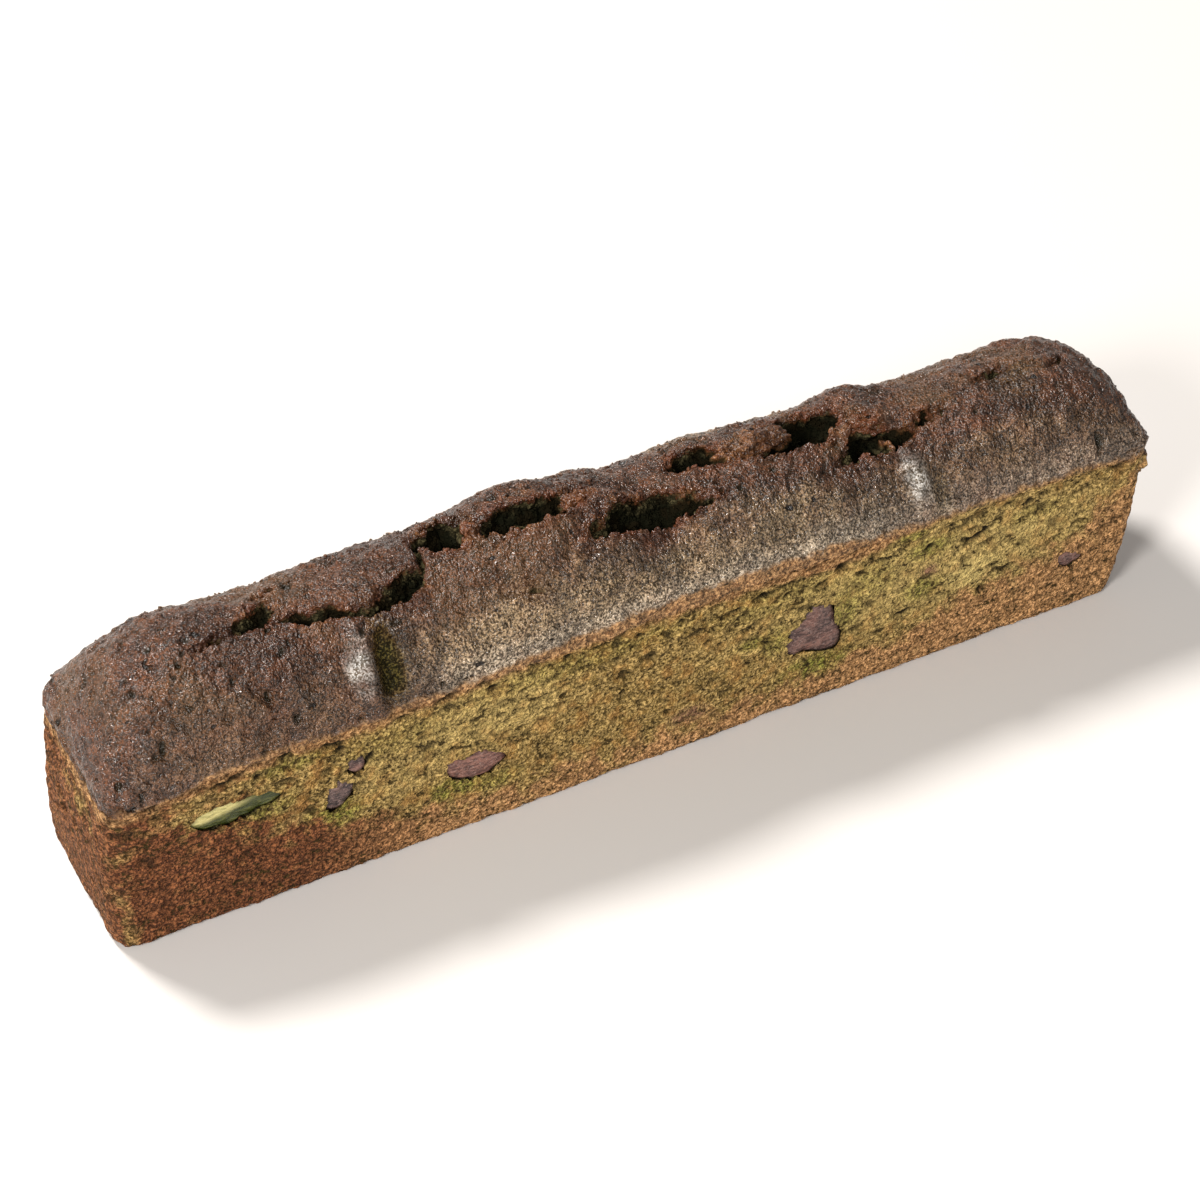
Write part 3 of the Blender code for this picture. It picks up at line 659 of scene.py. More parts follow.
def loaf_piece(name, skin, hidden):
    """A closed piece of the loaf. The hidden faces are flat, so they don't shade the skin beside them."""
    faces = [list(face) for face in skin] + [list(face) for face in hidden]
    corners = np.concatenate([np.array(skin).ravel(), np.concatenate([np.array(face) for face in hidden])])
    used, renumbered = np.unique(corners, return_inverse=True)
    ends = np.cumsum([len(face) for face in faces])
    faces = [part.tolist() for part in np.split(renumbered, ends[:-1])]
    mesh = mesh_of(name, everything[used], faces)
    flat = mesh.attributes.new("sharp_face", "BOOLEAN", "FACE")
    flat.data.foreach_set("value", np.arange(len(faces)) >= len(skin))
    return stand(name, mesh)


crust = loaf_piece("split_crust", dome_faces, fan(base_ids[0], rim_ids, False))
# The crumbly inside of the splits is the same on every run.
TEAR_SEED = 4
noise.seed_set(TEAR_SEED)
splitting = new_collection("splitting")
for seed, path in enumerate(SPLITS):
    split_cutter(path, 4.7 * seed, splitting)
cut_out(crust, splitting)
crust.data.set_sharp_from_angle(angle=math.radians(70))
shade_in(crust.data)

# ---------------------------------------------------------------------------------------------
# The walls: open crumb that took the tin's flat shape, down to the browned foot. They are two
# closed halves, front wall with left end and back wall with right end, that meet inside the
# loaf. Each has sockets in which the beans lie.

# Where each bean comes through the wall: (x, z) in mm round its edge as seen from outside.
BEAN_EDGES = {
    "bean_large": (
        (41.1, 29.3), (42.7, 27.7), (44.6, 27.7), (45.5, 24.8), (46.1, 21.7), (47.1, 19.1), (48.0, 17.2),
        (47.7, 14.7), (46.1, 13.1), (43.0, 13.8), (40.5, 15.0), (37.9, 15.7), (36.0, 15.0), (34.1, 16.0),
        (33.4, 18.5), (32.9, 19.6), (34.8, 20.4), (35.1, 23.3), (37.9, 25.5), (40.1, 27.4),
    ),
    "bean_long": (
        (-47.3, 21.0), (-44.9, 21.4), (-43.0, 20.4), (-40.5, 20.7), (-38.0, 21.0), (-36.2, 19.8),
        (-34.0, 18.5), (-32.9, 16.3), (-35.4, 15.0), (-39.9, 13.6), (-42.4, 14.4), (-45.6, 15.7), (-47.4, 17.4),
    ),
    "bean_small": (
        (-73.6, 25.2), (-71.5, 26.4), (-69.0, 26.1), (-67.7, 24.8), (-68.0, 22.3), (-69.4, 20.8),
        (-70.4, 19.4), (-73.4, 19.5), (-74.3, 21.0), (-73.6, 22.4), (-73.9, 23.6),
    ),
    "bean_chip": (
        (-68.7, 31.5), (-65.9, 31.8), (-64.9, 29.9), (-66.1, 27.3), (-67.4, 27.7), (-68.6, 29.3),
    ),
    "bean_green": (
        (-103.4, 30.5), (-98.7, 31.5), (-95.5, 32.2), (-93.6, 31.6), (-91.1, 31.0), (-88.6, 31.3),
        (-86.0, 30.7), (-83.2, 30.2), (-82.9, 27.6), (-86.0, 27.6), (-88.6, 27.3), (-92.4, 26.8),
        (-97.4, 26.3), (-102.2, 26.9), (-103.6, 28.5),
    ),
    "bean_low_right": (
        (103.7, 14.4), (104.3, 16.4), (107.5, 16.3), (109.6, 15.6), (111.0, 14.4), (108.6, 13.2), (105.6, 13.0),
    ),
}
# Beans in the back wall, as ovals: x, z, half width, half height in mm, tilt in degrees.
BACK_BEANS = {
    "bean_back_left": (-86.0, 24.0, 6.6, 4.6, 24.0),
    "bean_back_middle": (-18.0, 14.5, 7.0, 3.6, -8.0),
    "bean_back_small": (33.0, 29.5, 3.6, 3.2, 0.0),
    "bean_back_right": (78.0, 18.5, 7.2, 5.4, -16.0),
}
BEAN_DEPTHS = {
    "bean_large": 4.6, "bean_long": 3.6, "bean_small": 3.0, "bean_chip": 2.0, "bean_green": 3.2,
    "bean_low_right": 2.4, "bean_back_left": 4.0, "bean_back_middle": 3.6, "bean_back_small": 2.8,
    "bean_back_right": 4.2,
}
EDGE_STEPS = 72
PROFILE_STEPS = 30
# Depths in mm below the wall: of the bean's flat face, and of the place where it is widest.
BEAN_SUNK = 0.30
WIDEST_DEPTH = 0.95
# How much wider in mm a socket is than its bean, at its mouth and below it.
MOUTH_GAP = 0.30
SOCKET_GAP = 0.46


def bean_edge(name):
    """The bean's centre, and how far its edge is from there in mm at even turns round it."""
    turns = np.linspace(-math.pi, math.pi, EDGE_STEPS, endpoint=False)
    if name in BACK_BEANS:
        x, z, half_width, half_height, tilt = BACK_BEANS[name]
        bend = turns - math.radians(tilt)
        reach = 1.0 / np.hypot(np.cos(bend) / half_width, np.sin(bend) / half_height)
        uneven = [noise.noise((math.cos(turn) * 1.3 + x, math.sin(turn) * 1.3 + z, 2.0)) for turn in turns]
        return (x, z), reach * (1.0 + 0.25 * np.array(uneven))
    marks = np.array(BEAN_EDGES[name])
    centre = (marks.min(axis=0) + marks.max(axis=0)) / 2
    angles = np.arctan2(*(marks - centre).T[::-1])
    order = np.argsort(angles)
    reach = np.interp(turns, angles[order], np.hypot(*(marks - centre).T)[order], period=2 * math.pi)
    softened = (np.roll(reach, 1) + 2.0 * reach + np.roll(reach, -1)) / 4.0
    return tuple(centre), softened


def bean_body(name, is_socket):
    """A bean pressed flat by the tin, or the socket that it leaves: its pole looks out of the wall."""
    (x, z), reach = bean_edge(name)
    side = 1.0 if name in BACK_BEANS else -1.0
    depth = BEAN_DEPTHS[name]
    bm = bmesh.new()
    rings = []
    for step in range(1, PROFILE_STEPS):
        turn = math.pi * step / PROFILE_STEPS
        radius, out = math.sin(turn), math.cos(turn)
        ring = []
        for place in range(EDGE_STEPS):
            angle = -math.pi + 2.0 * math.pi * place / EDGE_STEPS
            across, up = math.cos(angle), math.sin(angle)
            flat = Vector((x + across * reach[place], z + up * reach[place], 0.0))
            tear = 1.0 * noise.noise(flat / 1.7 + Vector((3.0, 0.0, 8.0)))
            tear += 0.75 * noise.noise(flat / 0.85)
            spread = radius * reach[place]
            if out > 0:
                inward = BEAN_SUNK + (WIDEST_DEPTH - BEAN_SUNK) * radius**6
            else:
                inward = WIDEST_DEPTH + (depth - WIDEST_DEPTH) * abs(out) ** 0.9
            if is_socket:
                spread += tear * radius + (MOUTH_GAP if out > 0 else SOCKET_GAP) * radius
                inward = inward - 3.6 * (1.0 - radius**2) if out > 0 else inward + 0.30 * abs(out)
                inward = min(inward, -0.6) if step < 5 else inward
            else:
                spread += 0.15 * radius
            place_x, place_z = x + across * spread, z + up * spread
            if not is_socket:
                spot = Vector((place_x, place_z, 0.0))
                inward += 0.16 * noise.noise(spot / 2.2 + Vector((x, 0, 0))) * (1.0 - radius**8)
                inward += 0.07 * noise.noise(spot / 0.7) * (1.0 - radius**8)
            point = Vector((place_x, side * (WIDTH / 2 / MM - inward), place_z)) * MM - Vector(MIDDLE)
            ring.append(bm.verts.new(point))
        rings.append(ring)
    join_rings(bm, rings)
    for ring in (rings[0], rings[-1]):
        middle = Vector((0.0, 0.0, 0.0))
        for vert in ring:
            middle += vert.co / EDGE_STEPS
        pole = bm.verts.new(middle)
        for here in range(EDGE_STEPS):
            bm.faces.new((ring[here], ring[(here + 1) % EDGE_STEPS], pole))
    bmesh.ops.recalc_face_normals(bm, faces=bm.faces)
    return as_mesh(bm, name)


def wall_half(name, first, last, caps, side):
    """The half of the walls from one column of points to another, closed through the loaf."""
    columns = np.arange(first, last + 1) % around
    skin = wall_faces[:, columns[:-1]].reshape(-1, 4)
    hidden = fan(caps[0], rim_ids[columns], True) + fan(caps[1], foot_row[columns], False)
    begin, end = ring_ids[:, columns[0]], ring_ids[:, columns[-1]]
    hidden += list(np.stack((end[1:], begin[1:], begin[:-1], end[:-1]), axis=-1))
    half = loaf_piece(name, skin, hidden)
    sockets = new_collection("sockets")
    for bean in BEAN_DEPTHS:
        if (bean in BACK_BEANS) == (side > 0):
            stand("socket", bean_body(bean, True), sockets)
    cut_out(half, sockets)
    half.data.set_sharp_from_angle(angle=math.radians(75))
    shade_in(half.data)
    return half


front_right, back_left = CELLS_LONG, 2 * CELLS_LONG + CELLS_WIDE
front_half = wall_half("front_wall_and_left_end", back_left - around, front_right, base_ids[1:3], -1)
back_half = wall_half("back_wall_and_right_end", front_right, back_left, base_ids[3:5], 1)

# ---------------------------------------------------------------------------------------------
# Torn crumb: lumps that stand in the splits and bridge them, and the nub of dough that the
# rim's right end left over. They are crumpled balls sunk into the loaf, in one piece.

# Each lump: x, y, z of its middle and its three half sizes in mm, and how orange its crust is.
CRUMB_LUMPS = (
    (-30.6, -1.4, 61.0, 3.0, 2.7, 3.6, 0.2), (-22.5, -6.4, 62.0, 5.6, 2.2, 2.6, 0.2),
    (-6.6, -1.6, 62.2, 4.6, 2.3, 2.4, 0.4), (35.2, 0.2, 60.3, 8.4, 3.2, 2.9, 0.6),
    (41.4, 1.6, 57.8, 3.0, 2.3, 2.2, 0.5), (62.3, -1.4, 57.4, 6.0, 3.6, 3.0, 0.0),
    (63.8, -6.8, 53.0, 2.4, 2.1, 3.0, 0.7), (124.5, -17.3, 35.6, 1.7, 2.6, 4.0, 0.5),
)
bm = bmesh.new()
for *centre, half_x, half_y, half_z, _ in CRUMB_LUMPS:
    ball = bmesh.ops.create_icosphere(bm, subdivisions=5, radius=1.0)
    centre = Vector(centre)
    for vert in ball["verts"]:
        place = Vector([part * size for part, size in zip(vert.co, (half_x, half_y, half_z))])
        crumple = 1.0 + 0.45 * noise.noise(vert.co * 1.9 + centre * 0.3)
        crumbs = 0.85 * noise.noise((place + centre) / 1.9) + 0.55 * noise.noise((place + centre) / 0.9)
        vert.co = (centre + place * crumple + vert.co * crumbs) * MM - Vector(MIDDLE)
lumps_mesh = as_mesh(bm, "torn_crumb")
lumps_mesh.shade_smooth()
shade_in(lumps_mesh)
orange = np.repeat([0.7 * lump[-1] for lump in CRUMB_LUMPS], len(lumps_mesh.vertices) // len(CRUMB_LUMPS))
lumps_mesh.attributes["orange"].data.foreach_set("value", orange)
torn_crumb = stand("torn_crumb", lumps_mesh)

# The loaf's finish. The shades laid on the pieces say where crust, band, crumb and browning are,
# and where sheen, glints and shade are painted; noise as fine as the grain breaks them up, and
# roughness and bump follow the same grain.

# Each pair of colours runs from the hollows between the grains to their tops: the dark end is
# partly painted shade in the hollows, the light end partly painted light on the tops.
CRUMB = ((0.145, 0.092, 0.025), (0.445, 0.298, 0.110))
GREEN_CRUMB = ((0.050, 0.056, 0.005), (0.27, 0.265, 0.045))
TOASTED = ((0.190, 0.096, 0.036), (0.54, 0.295, 0.130))
SCORCHED = ((0.058, 0.020, 0.009), (0.235, 0.087, 0.034))
RIM_BROWN = ((0.150, 0.068, 0.025), (0.42, 0.235, 0.102))
CRUST = ((0.024, 0.010, 0.005), (0.112, 0.046, 0.023))
# The slopes' colours are partly painted sheen, the green crust's dark partly painted shade, and the glints a painted
# highlight.
OLIVE_SLOPE_AND_SHEEN = ((0.048, 0.030, 0.012), (0.37, 0.255, 0.145))
GREASED_SLOPE_AND_SHEEN = ((0.070, 0.052, 0.031), (0.57, 0.46, 0.335))
ORANGE_CRUST = ((0.060, 0.024, 0.008), (0.24, 0.115, 0.042))
GREEN_CRUST_AND_SHADE = ((0.020, 0.018, 0.007), (0.13, 0.102, 0.028))
PAINTED_GLINTS = ((0.110, 0.085, 0.055), (0.60, 0.58, 0.54))
# The torn dough's colours are the crumb's, darkened by painted shade inside the splits.
TORN_DOUGH_IN_SHADE = ((0.018, 0.015, 0.007), (0.098, 0.080, 0.038))
# Blotches on the crumb, the crust and the torn dough.
RUSTY_CRUMB = (0.30, 0.145, 0.034)
PALE_CRUMB = (0.54, 0.41, 0.15)
STAINED_CRUMB = (0.17, 0.075, 0.055)
RUSTY_CRUST = (0.080, 0.028, 0.012)
OLIVE_CRUST = (0.062, 0.040, 0.012)
LIP_CRUST = (0.090, 0.024, 0.008)
RUSTY_DOUGH = (0.120, 0.046, 0.014)
# Painted shade in gaps, pores, pits and holes, and deep in the splits.
CLOD_GAP_SHADE = (0.036, 0.023, 0.005)
FINE_GAP_SHADE = (0.040, 0.022, 0.005)
CRUMB_PORE_SHADE = (0.028, 0.016, 0.003)
CRUST_PIT_SHADE = (0.012, 0.006, 0.003)
PINHOLE_SHADE = (0.008, 0.004, 0.002)
HOLE_SHADE = (0.014, 0.010, 0.004)
DEEP_SPLIT_SHADE = (0.006, 0.006, 0.003)
# How much light the surface throws back: fat in the crust, dry crumb, torn dough.
CRUST_GLOSS = 0.42
WALL_GLOSS = 0.14
TORN_GLOSS = 0.03
RELIEF_DEPTH = 0.9 * MM


def node(tree, kind, inputs=(), **settings):
    made = tree.nodes.new(kind)
    for name, value in settings.items():
        setattr(made, name, value)
    for socket, value in dict(inputs).items():
        if isinstance(value, bpy.types.NodeSocket):
            tree.links.new(value, made.inputs[socket])
        else:
            made.inputs[socket].default_value = value
    return made


def grain(tree, size, detail=2.0, roughness=0.55, stretch=(1.0, 1.0, 1.0)):
    """Noise whose lumps are about this size, in metres."""
    place = node(tree, "ShaderNodeTexCoord").outputs["Object"]
    if stretch != (1.0, 1.0, 1.0):
        place = node(tree, "ShaderNodeMapping", {"Vector": place, "Scale": stretch}).outputs[0]
    return node(
        tree, "ShaderNodeTexNoise",
        {"Vector": place, "Scale": 1.0 / size, "Detail": detail, "Roughness": roughness},
    ).outputs["Fac"]


def between(tree, value, low, high, to_low=0.0, to_high=1.0):
    return node(
        tree, "ShaderNodeMapRange",
        {0: value, 1: low, 2: high, 3: to_low, 4: to_high}, interpolation_type="SMOOTHSTEP",
    ).outputs[0]


def product(tree, first, second):
    return node(tree, "ShaderNodeMath", {0: first, 1: second}, operation="MULTIPLY").outputs[0]


def blend(tree, share, first, second, mode="MIX"):
    made = node(tree, "ShaderNodeMix", data_type="RGBA", blend_type=mode)
    for socket, value in ((made.inputs[0], share), (made.inputs[6], first), (made.inputs[7], second)):
        if isinstance(value, bpy.types.NodeSocket):
            tree.links.new(value, socket)
        else:
            socket.default_value = (*value, 1.0) if isinstance(value, tuple) else value
    return made.outputs[2]


def shade(tree, name):
    return node(tree, "ShaderNodeAttribute", attribute_name=name).outputs["Fac"]


def offset_of(tree, colour, reach):
    """The noise's colour as a shift to any side, of up to half this reach."""
    shift = node(tree, "ShaderNodeVectorMath", {0: colour, 1: (0.5, 0.5, 0.5)}, operation="SUBTRACT").outputs[0]
    return node(tree, "ShaderNodeVectorMath", {0: shift, "Scale": reach}, operation="SCALE").outputs[0]


def grains_of(tree, size, wander):
    """Packed grains of about this size, in metres, each with its own chance number."""
    place = node(tree, "ShaderNodeTexCoord").outputs["Object"]
    drift = node(tree, "ShaderNodeTexNoise", {"Vector": place, "Scale": 0.7 / size, "Detail": 1.0})
    drift = offset_of(tree, drift.outputs["Color"], 2.0 * wander * size)
    place = node(tree, "ShaderNodeVectorMath", {0: place, 1: drift}, operation="ADD").outputs[0]
    cells = node(tree, "ShaderNodeTexVoronoi", {"Vector": place, "Scale": 1.0 / size})
    chance = node(tree, "ShaderNodeSeparateColor", {0: cells.outputs["Color"]})
    return chance.outputs[0]


def added(tree, first, second, share=1.0):
    return node(tree, "ShaderNodeMath", {0: second, 1: share, 2: first}, operation="MULTIPLY_ADD").outputs[0]


def new_finish(name):
    material = bpy.data.materials.new(name)
    material.use_nodes = True
    return material, material.node_tree


def set_finish(tree, colour, roughness, relief, depth):
    """Gives the shader its colour and its roughness, and a relief of this depth in metres."""
    shader = tree.nodes["Principled BSDF"]
    bump = node(tree, "ShaderNodeBump", {"Height": relief, "Strength": 1.0, "Distance": depth})
    for socket, value in (("Base Color", colour), ("Roughness", roughness), ("Normal", bump.outputs[0])):
        tree.links.new(value, shader.inputs[socket])


def loaf_finish(name, gloss):
    """The loaf's finish, with the gloss of its crust, its walls or its torn dough."""
    material, tree = new_finish(name)
    tree.nodes["Principled BSDF"].inputs["Specular IOR Level"].default_value = gloss
    fine = grain(tree, 0.00042, 2.0, 0.6)
    medium = grain(tree, 0.0012, 2.0, 0.55)
    coarse = grain(tree, 0.0042, 3.0, 0.55)
    broad = grain(tree, 0.021, 2.0, 0.5)
    crumb_relief = grain(tree, 0.00072, 3.0, 0.60, (1.0, 1.0, 1.15))
    crust_relief = grain(tree, 0.00078, 3.0, 0.62)
    crumb_bump = grain(tree, 0.00058, 1.0, 0.5, (1.0, 1.0, 1.15))
    crust_bump = grain(tree, 0.00045, 0.5, 0.5)
    crumb_chance = grains_of(tree, 0.00062, 0.5)
    sugar_chance = grains_of(tree, 0.00043, 0.5)

    # The walls: crumb, its green, pale and stained patches, the browned zones, and painted shade in the gaps and
    # pores.
    crumb_mix = added(tree, product(tree, crumb_chance, 0.40), between(tree, crumb_relief, 0.38, 0.66), 0.60)
    crumb_mix = between(tree, crumb_mix, 0.18, 0.85)
    crumb = blend(tree, crumb_mix, *CRUMB)
    crumb = blend(tree, between(tree, coarse, 0.48, 0.68, 0.0, 0.55), crumb, RUSTY_CRUMB)
    crumb = blend(tree, product(tree, shade(tree, "pale"), 0.8), crumb, PALE_CRUMB)
    green_share = product(tree, shade(tree, "green"), between(tree, medium, 0.30, 0.60, 0.25, 0.85))
    crumb = blend(tree, green_share, crumb, blend(tree, crumb_mix, *GREEN_CRUMB))
    stain_share = product(tree, shade(tree, "mauve"), between(tree, medium, 0.3, 0.6, 0.3, 0.9))
    crumb = blend(tree, stain_share, crumb, STAINED_CRUMB)
    foot = blend(tree, shade(tree, "deeply"), blend(tree, crumb_mix, *TOASTED), blend(tree, crumb_mix, *SCORCHED))
    uneven = between(tree, coarse, 0.30, 0.70, -0.30, 0.30)
    wall = blend(tree, between(tree, added(tree, shade(tree, "browned"), uneven), 0.1, 0.9), crumb, foot)
    wall = blend(tree, shade(tree, "band"), wall, blend(tree, crumb_mix, *RIM_BROWN))
    clods = grain(tree, 0.0021, 2.0, 0.55, (0.8, 1.0, 1.25))
    # Clod tops lighter and their hollows darker, after the clods' own bump: partly painted light and shade.
    wall = blend(tree, 1.0, wall, between(tree, added(tree, clods, medium, 0.8), 0.70, 1.10, 0.72, 1.34), "MULTIPLY")
    rather_open = between(tree, shade(tree, "band"), 0.0, 1.0, 1.0, 0.35)
    gap_shade = between(tree, added(tree, clods, crumb_relief, 0.5), 0.55, 0.63, 0.92, 0.0)
    wall = blend(tree, product(tree, gap_shade, rather_open), wall, CLOD_GAP_SHADE)
    fine_gap_shade = between(tree, fine, 0.30, 0.46, 0.66, 0.0)
    wall = blend(tree, product(tree, fine_gap_shade, rather_open), wall, FINE_GAP_SHADE)
    open_crumb = between(tree, added(tree, coarse, medium, 0.7), 0.72, 0.92, 1.0, 0.12)
    pores = between(tree, crumb_relief, 0.34, 0.46, 0.95, 0.0)
    wall = blend(tree, product(tree, pores, open_crumb), wall, CRUMB_PORE_SHADE)

    # The crust: its grain, its olive and greased slopes with painted sheen, the orange lips, the painted glints, and
    # painted shade in the pits and pinholes.
    sugar_mix = added(tree, product(tree, sugar_chance, 0.50), between(tree, crust_bump, 0.30, 0.70), 0.50)
    sugar_mix = between(tree, sugar_mix, 0.22, 0.80)
    skin = blend(tree, sugar_mix, *CRUST)
    skin = blend(tree, between(tree, coarse, 0.50, 0.72, 0.0, 0.35), skin, RUSTY_CRUST)
    skin = blend(tree, between(tree, broad, 0.50, 0.66, 0.0, 0.25), skin, OLIVE_CRUST)
    slope_and_sheen = blend(tree, sugar_mix, *OLIVE_SLOPE_AND_SHEEN)
    slope_and_sheen = blend(tree, shade(tree, "low"), slope_and_sheen, blend(tree, sugar_mix, *GREASED_SLOPE_AND_SHEEN))
    skin = blend(tree, product(tree, shade(tree, "paler_and_sheen"), between(tree, medium, 0.3, 0.6, 0.6, 1.0)), skin, slope_and_sheen)
    on_lip = product(tree, shade(tree, "lip"), between(tree, medium, 0.3, 0.6, 0.2, 0.8))
    skin = blend(tree, on_lip, skin, LIP_CRUST)
    orange_share = product(tree, shade(tree, "orange"), between(tree, medium, 0.35, 0.55, 0.2, 1.0))
    skin = blend(tree, orange_share, skin, blend(tree, sugar_mix, *ORANGE_CRUST))
    moss_and_shade = blend(tree, between(tree, sugar_mix, 0.55, 1.0), *GREEN_CRUST_AND_SHADE)
    skin = blend(tree, product(tree, shade(tree, "moss_and_shade"), 0.94), skin, moss_and_shade)
    # Painted glints: pale specks in the colour of the wet spots that stand in for highlights.
    painted_sparkle = added(tree, product(tree, sugar_mix, 0.35), fine, 1.0)
    painted_glints = blend(tree, between(tree, painted_sparkle, 0.52, 0.86), *PAINTED_GLINTS)
    skin = blend(tree, between(tree, shade(tree, "wet_and_glint"), 0.35, 1.05, 0.0, 0.8), skin, painted_glints)
    skin = blend(tree, between(tree, crust_relief, 0.34, 0.46, 0.60, 0.0), skin, CRUST_PIT_SHADE)
    pinholes = between(tree, grain(tree, 0.0024, 1.0, 0.5, (0.9, 1.1, 1.0)), 0.22, 0.29, 1.0, 0.0)
    skin = blend(tree, pinholes, skin, PINHOLE_SHADE)
    mottle = between(tree, added(tree, coarse, broad, 1.0), 0.80, 1.20, 0.60, 1.30)
    skin = blend(tree, 1.0, skin, mottle, "MULTIPLY")
    surface = blend(tree, shade(tree, "crust"), wall, skin)
    # Painted shade in the holes, gaps, pores, creases and pits laid on the pieces.
    surface = blend(tree, shade(tree, "shaded_hole"), surface, HOLE_SHADE)

    # The torn dough, darker the deeper it lies: painted shade inside the splits and sockets.
    torn_depth = shade(tree, "torn")
    torn = blend(tree, crumb_mix, *TORN_DOUGH_IN_SHADE)
    torn = blend(tree, between(tree, coarse, 0.48, 0.60, 0.0, 0.85), torn, RUSTY_DOUGH)
    painted_gloom = added(tree, torn_depth, between(tree, coarse, 0.35, 0.65, -1.0, 1.0))
    torn = blend(tree, between(tree, painted_gloom, 0.2, 2.0, 0.0, 0.96), torn, DEEP_SPLIT_SHADE)
    surface = blend(tree, between(tree, torn_depth, 0.15, 0.8), surface, torn)

    matt = between(tree, shade(tree, "greased"), 0.0, 1.0, 0.25, 0.18)
    matt = blend(tree, shade(tree, "wet_and_glint"), matt, (0.17, 0.17, 0.17))
    glaze = blend(tree, shade(tree, "crust"), (0.90, 0.90, 0.90), matt)
    sparkle = between(tree, sugar_chance, 0.2, 0.9, 0.12, -0.10)
    in_shade = between(tree, torn_depth, 0.1, 0.8)
    glaze = blend(tree, in_shade, added(tree, glaze, sparkle), (1.0, 1.0, 1.0))
    wall_relief = product(tree, fine, 0.20)
    for layer, share in ((crumb_bump, 0.80), (medium, 1.3), (clods, 1.7)):
        wall_relief = added(tree, wall_relief, layer, share)
    skin_relief = product(tree, fine, 0.18)
    for layer, share in ((crust_bump, 0.50), (medium, 1.35), (pinholes, -0.55)):
        skin_relief = added(tree, skin_relief, layer, share)
    skin_relief = product(tree, skin_relief, between(tree, shade(tree, "wet_and_glint"), 0.0, 1.0, 1.0, 0.5))
    relief = blend(tree, shade(tree, "crust"), wall_relief, skin_relief)
    set_finish(tree, surface, glaze, relief, RELIEF_DEPTH)
    return material


baked_crust = loaf_finish("baked_crust", CRUST_GLOSS)
baked_wall = loaf_finish("baked_wall", WALL_GLOSS)
torn_dough = loaf_finish("torn_dough", TORN_GLOSS)

# ---------------------------------------------------------------------------------------------
# Crumbs of crust: they broke off where the crust tore, and cling to its edges, to the torn dough
# inside the splits and, more thinly, to the crest. The greased slopes shed nearly all of them.

CRUMBS_PER_MM2 = 1.25
CLUMPS_PER_MM2 = 0.055
# The least share of its full size that a crumb or a clump has, and the most that one is stretched.
LEAST_CRUMB = 0.55
LEAST_CLUMP = 0.50
MOST_STRETCH = 1.25
CRUMPLES_PER_METRE = 1100.0

crumbling = bpy.data.node_groups.new("crumbling", "GeometryNodeTree")
sockets = {}
for name, kind, way in (
    ("Geometry", "NodeSocketGeometry", "INPUT"), ("Crumb Size", "NodeSocketFloat", "INPUT"),
    ("Clump Size", "NodeSocketFloat", "INPUT"), ("Unevenness", "NodeSocketFloat", "INPUT"),
    ("Finish", "NodeSocketMaterial", "INPUT"), ("Crumbs", "NodeSocketGeometry", "OUTPUT"),
):
    sockets[name] = crumbling.interface.new_socket(name, in_out=way, socket_type=kind).identifier
tree = crumbling
sizes_in = node(tree, "NodeGroupInput")


def clinging(tree, density, ball, size, least, seed):
    """Balls spread over the surface at this density, each turned, stretched and sized by chance."""
    points = node(
        tree, "GeometryNodeDistributePointsOnFaces",
        {"Mesh": sizes_in.outputs["Geometry"], "Density": density, "Seed": seed},
    )
    turn = node(tree, "FunctionNodeRandomValue", {1: (math.tau,) * 3, "Seed": seed + 1}, data_type="FLOAT_VECTOR")
    shape = node(
        tree, "FunctionNodeRandomValue",
        {0: (least,) * 3, 1: (MOST_STRETCH,) * 3, "Seed": seed + 2}, data_type="FLOAT_VECTOR",
    )
    bigness = node(tree, "FunctionNodeRandomValue", {2: least, 3: 1.0, "Seed": seed + 3})
    bigness = product(tree, product(tree, bigness.outputs[1], bigness.outputs[1]), size)
    shape = node(tree, "ShaderNodeVectorMath", {0: shape.outputs[0], "Scale": bigness}, operation="SCALE")
    return node(
        tree, "GeometryNodeInstanceOnPoints",
        {"Points": points.outputs["Points"], "Instance": ball, "Rotation": turn.outputs[0], "Scale": shape.outputs[0]},
    ).outputs[0]


def laid(tree, name):
    made = node(tree, "GeometryNodeInputNamedAttribute", {"Name": name}, data_type="FLOAT")
    return made.outputs["Attribute"]


inside = between(tree, laid(tree, "torn"), 0.1, 0.8)
on_lip = added(tree, laid(tree, "lip"), inside, 0.55)
on_crest = between(tree, laid(tree, "greased"), 0.1, 0.6, 0.06, 0.015)
crumb_density = product(tree, added(tree, on_crest, on_lip, 0.9), CRUMBS_PER_MM2 / MM**2)
clump_density = product(tree, between(tree, on_lip, 0.35, 0.9), CLUMPS_PER_MM2 / MM**2)
crumb_ball = node(tree, "GeometryNodeMeshIcoSphere", {"Radius": 1.0, "Subdivisions": 1}).outputs["Mesh"]
clump_ball = node(tree, "GeometryNodeMeshUVSphere", {"Segments": 8, "Rings": 6, "Radius": 1.0}).outputs["Mesh"]
crumbs = clinging(tree, crumb_density, crumb_ball, sizes_in.outputs["Crumb Size"], LEAST_CRUMB, 11)
clumps = clinging(tree, clump_density, clump_ball, sizes_in.outputs["Clump Size"], LEAST_CLUMP, 31)
both = node(tree, "GeometryNodeJoinGeometry")
for part in (crumbs, clumps):
    tree.links.new(part, both.inputs[0])
single = node(tree, "GeometryNodeRealizeInstances", {0: both.outputs[0]}).outputs[0]
crumple = node(tree, "ShaderNodeTexNoise", {"Scale": CRUMPLES_PER_METRE, "Detail": 1.0}).outputs["Color"]
crumple = offset_of(tree, crumple, sizes_in.outputs["Unevenness"])
single = node(tree, "GeometryNodeSetPosition", {"Geometry": single, "Offset": crumple}).outputs[0]
finished = node(tree, "GeometryNodeSetMaterial", {"Geometry": single, "Material": sizes_in.outputs["Finish"]})
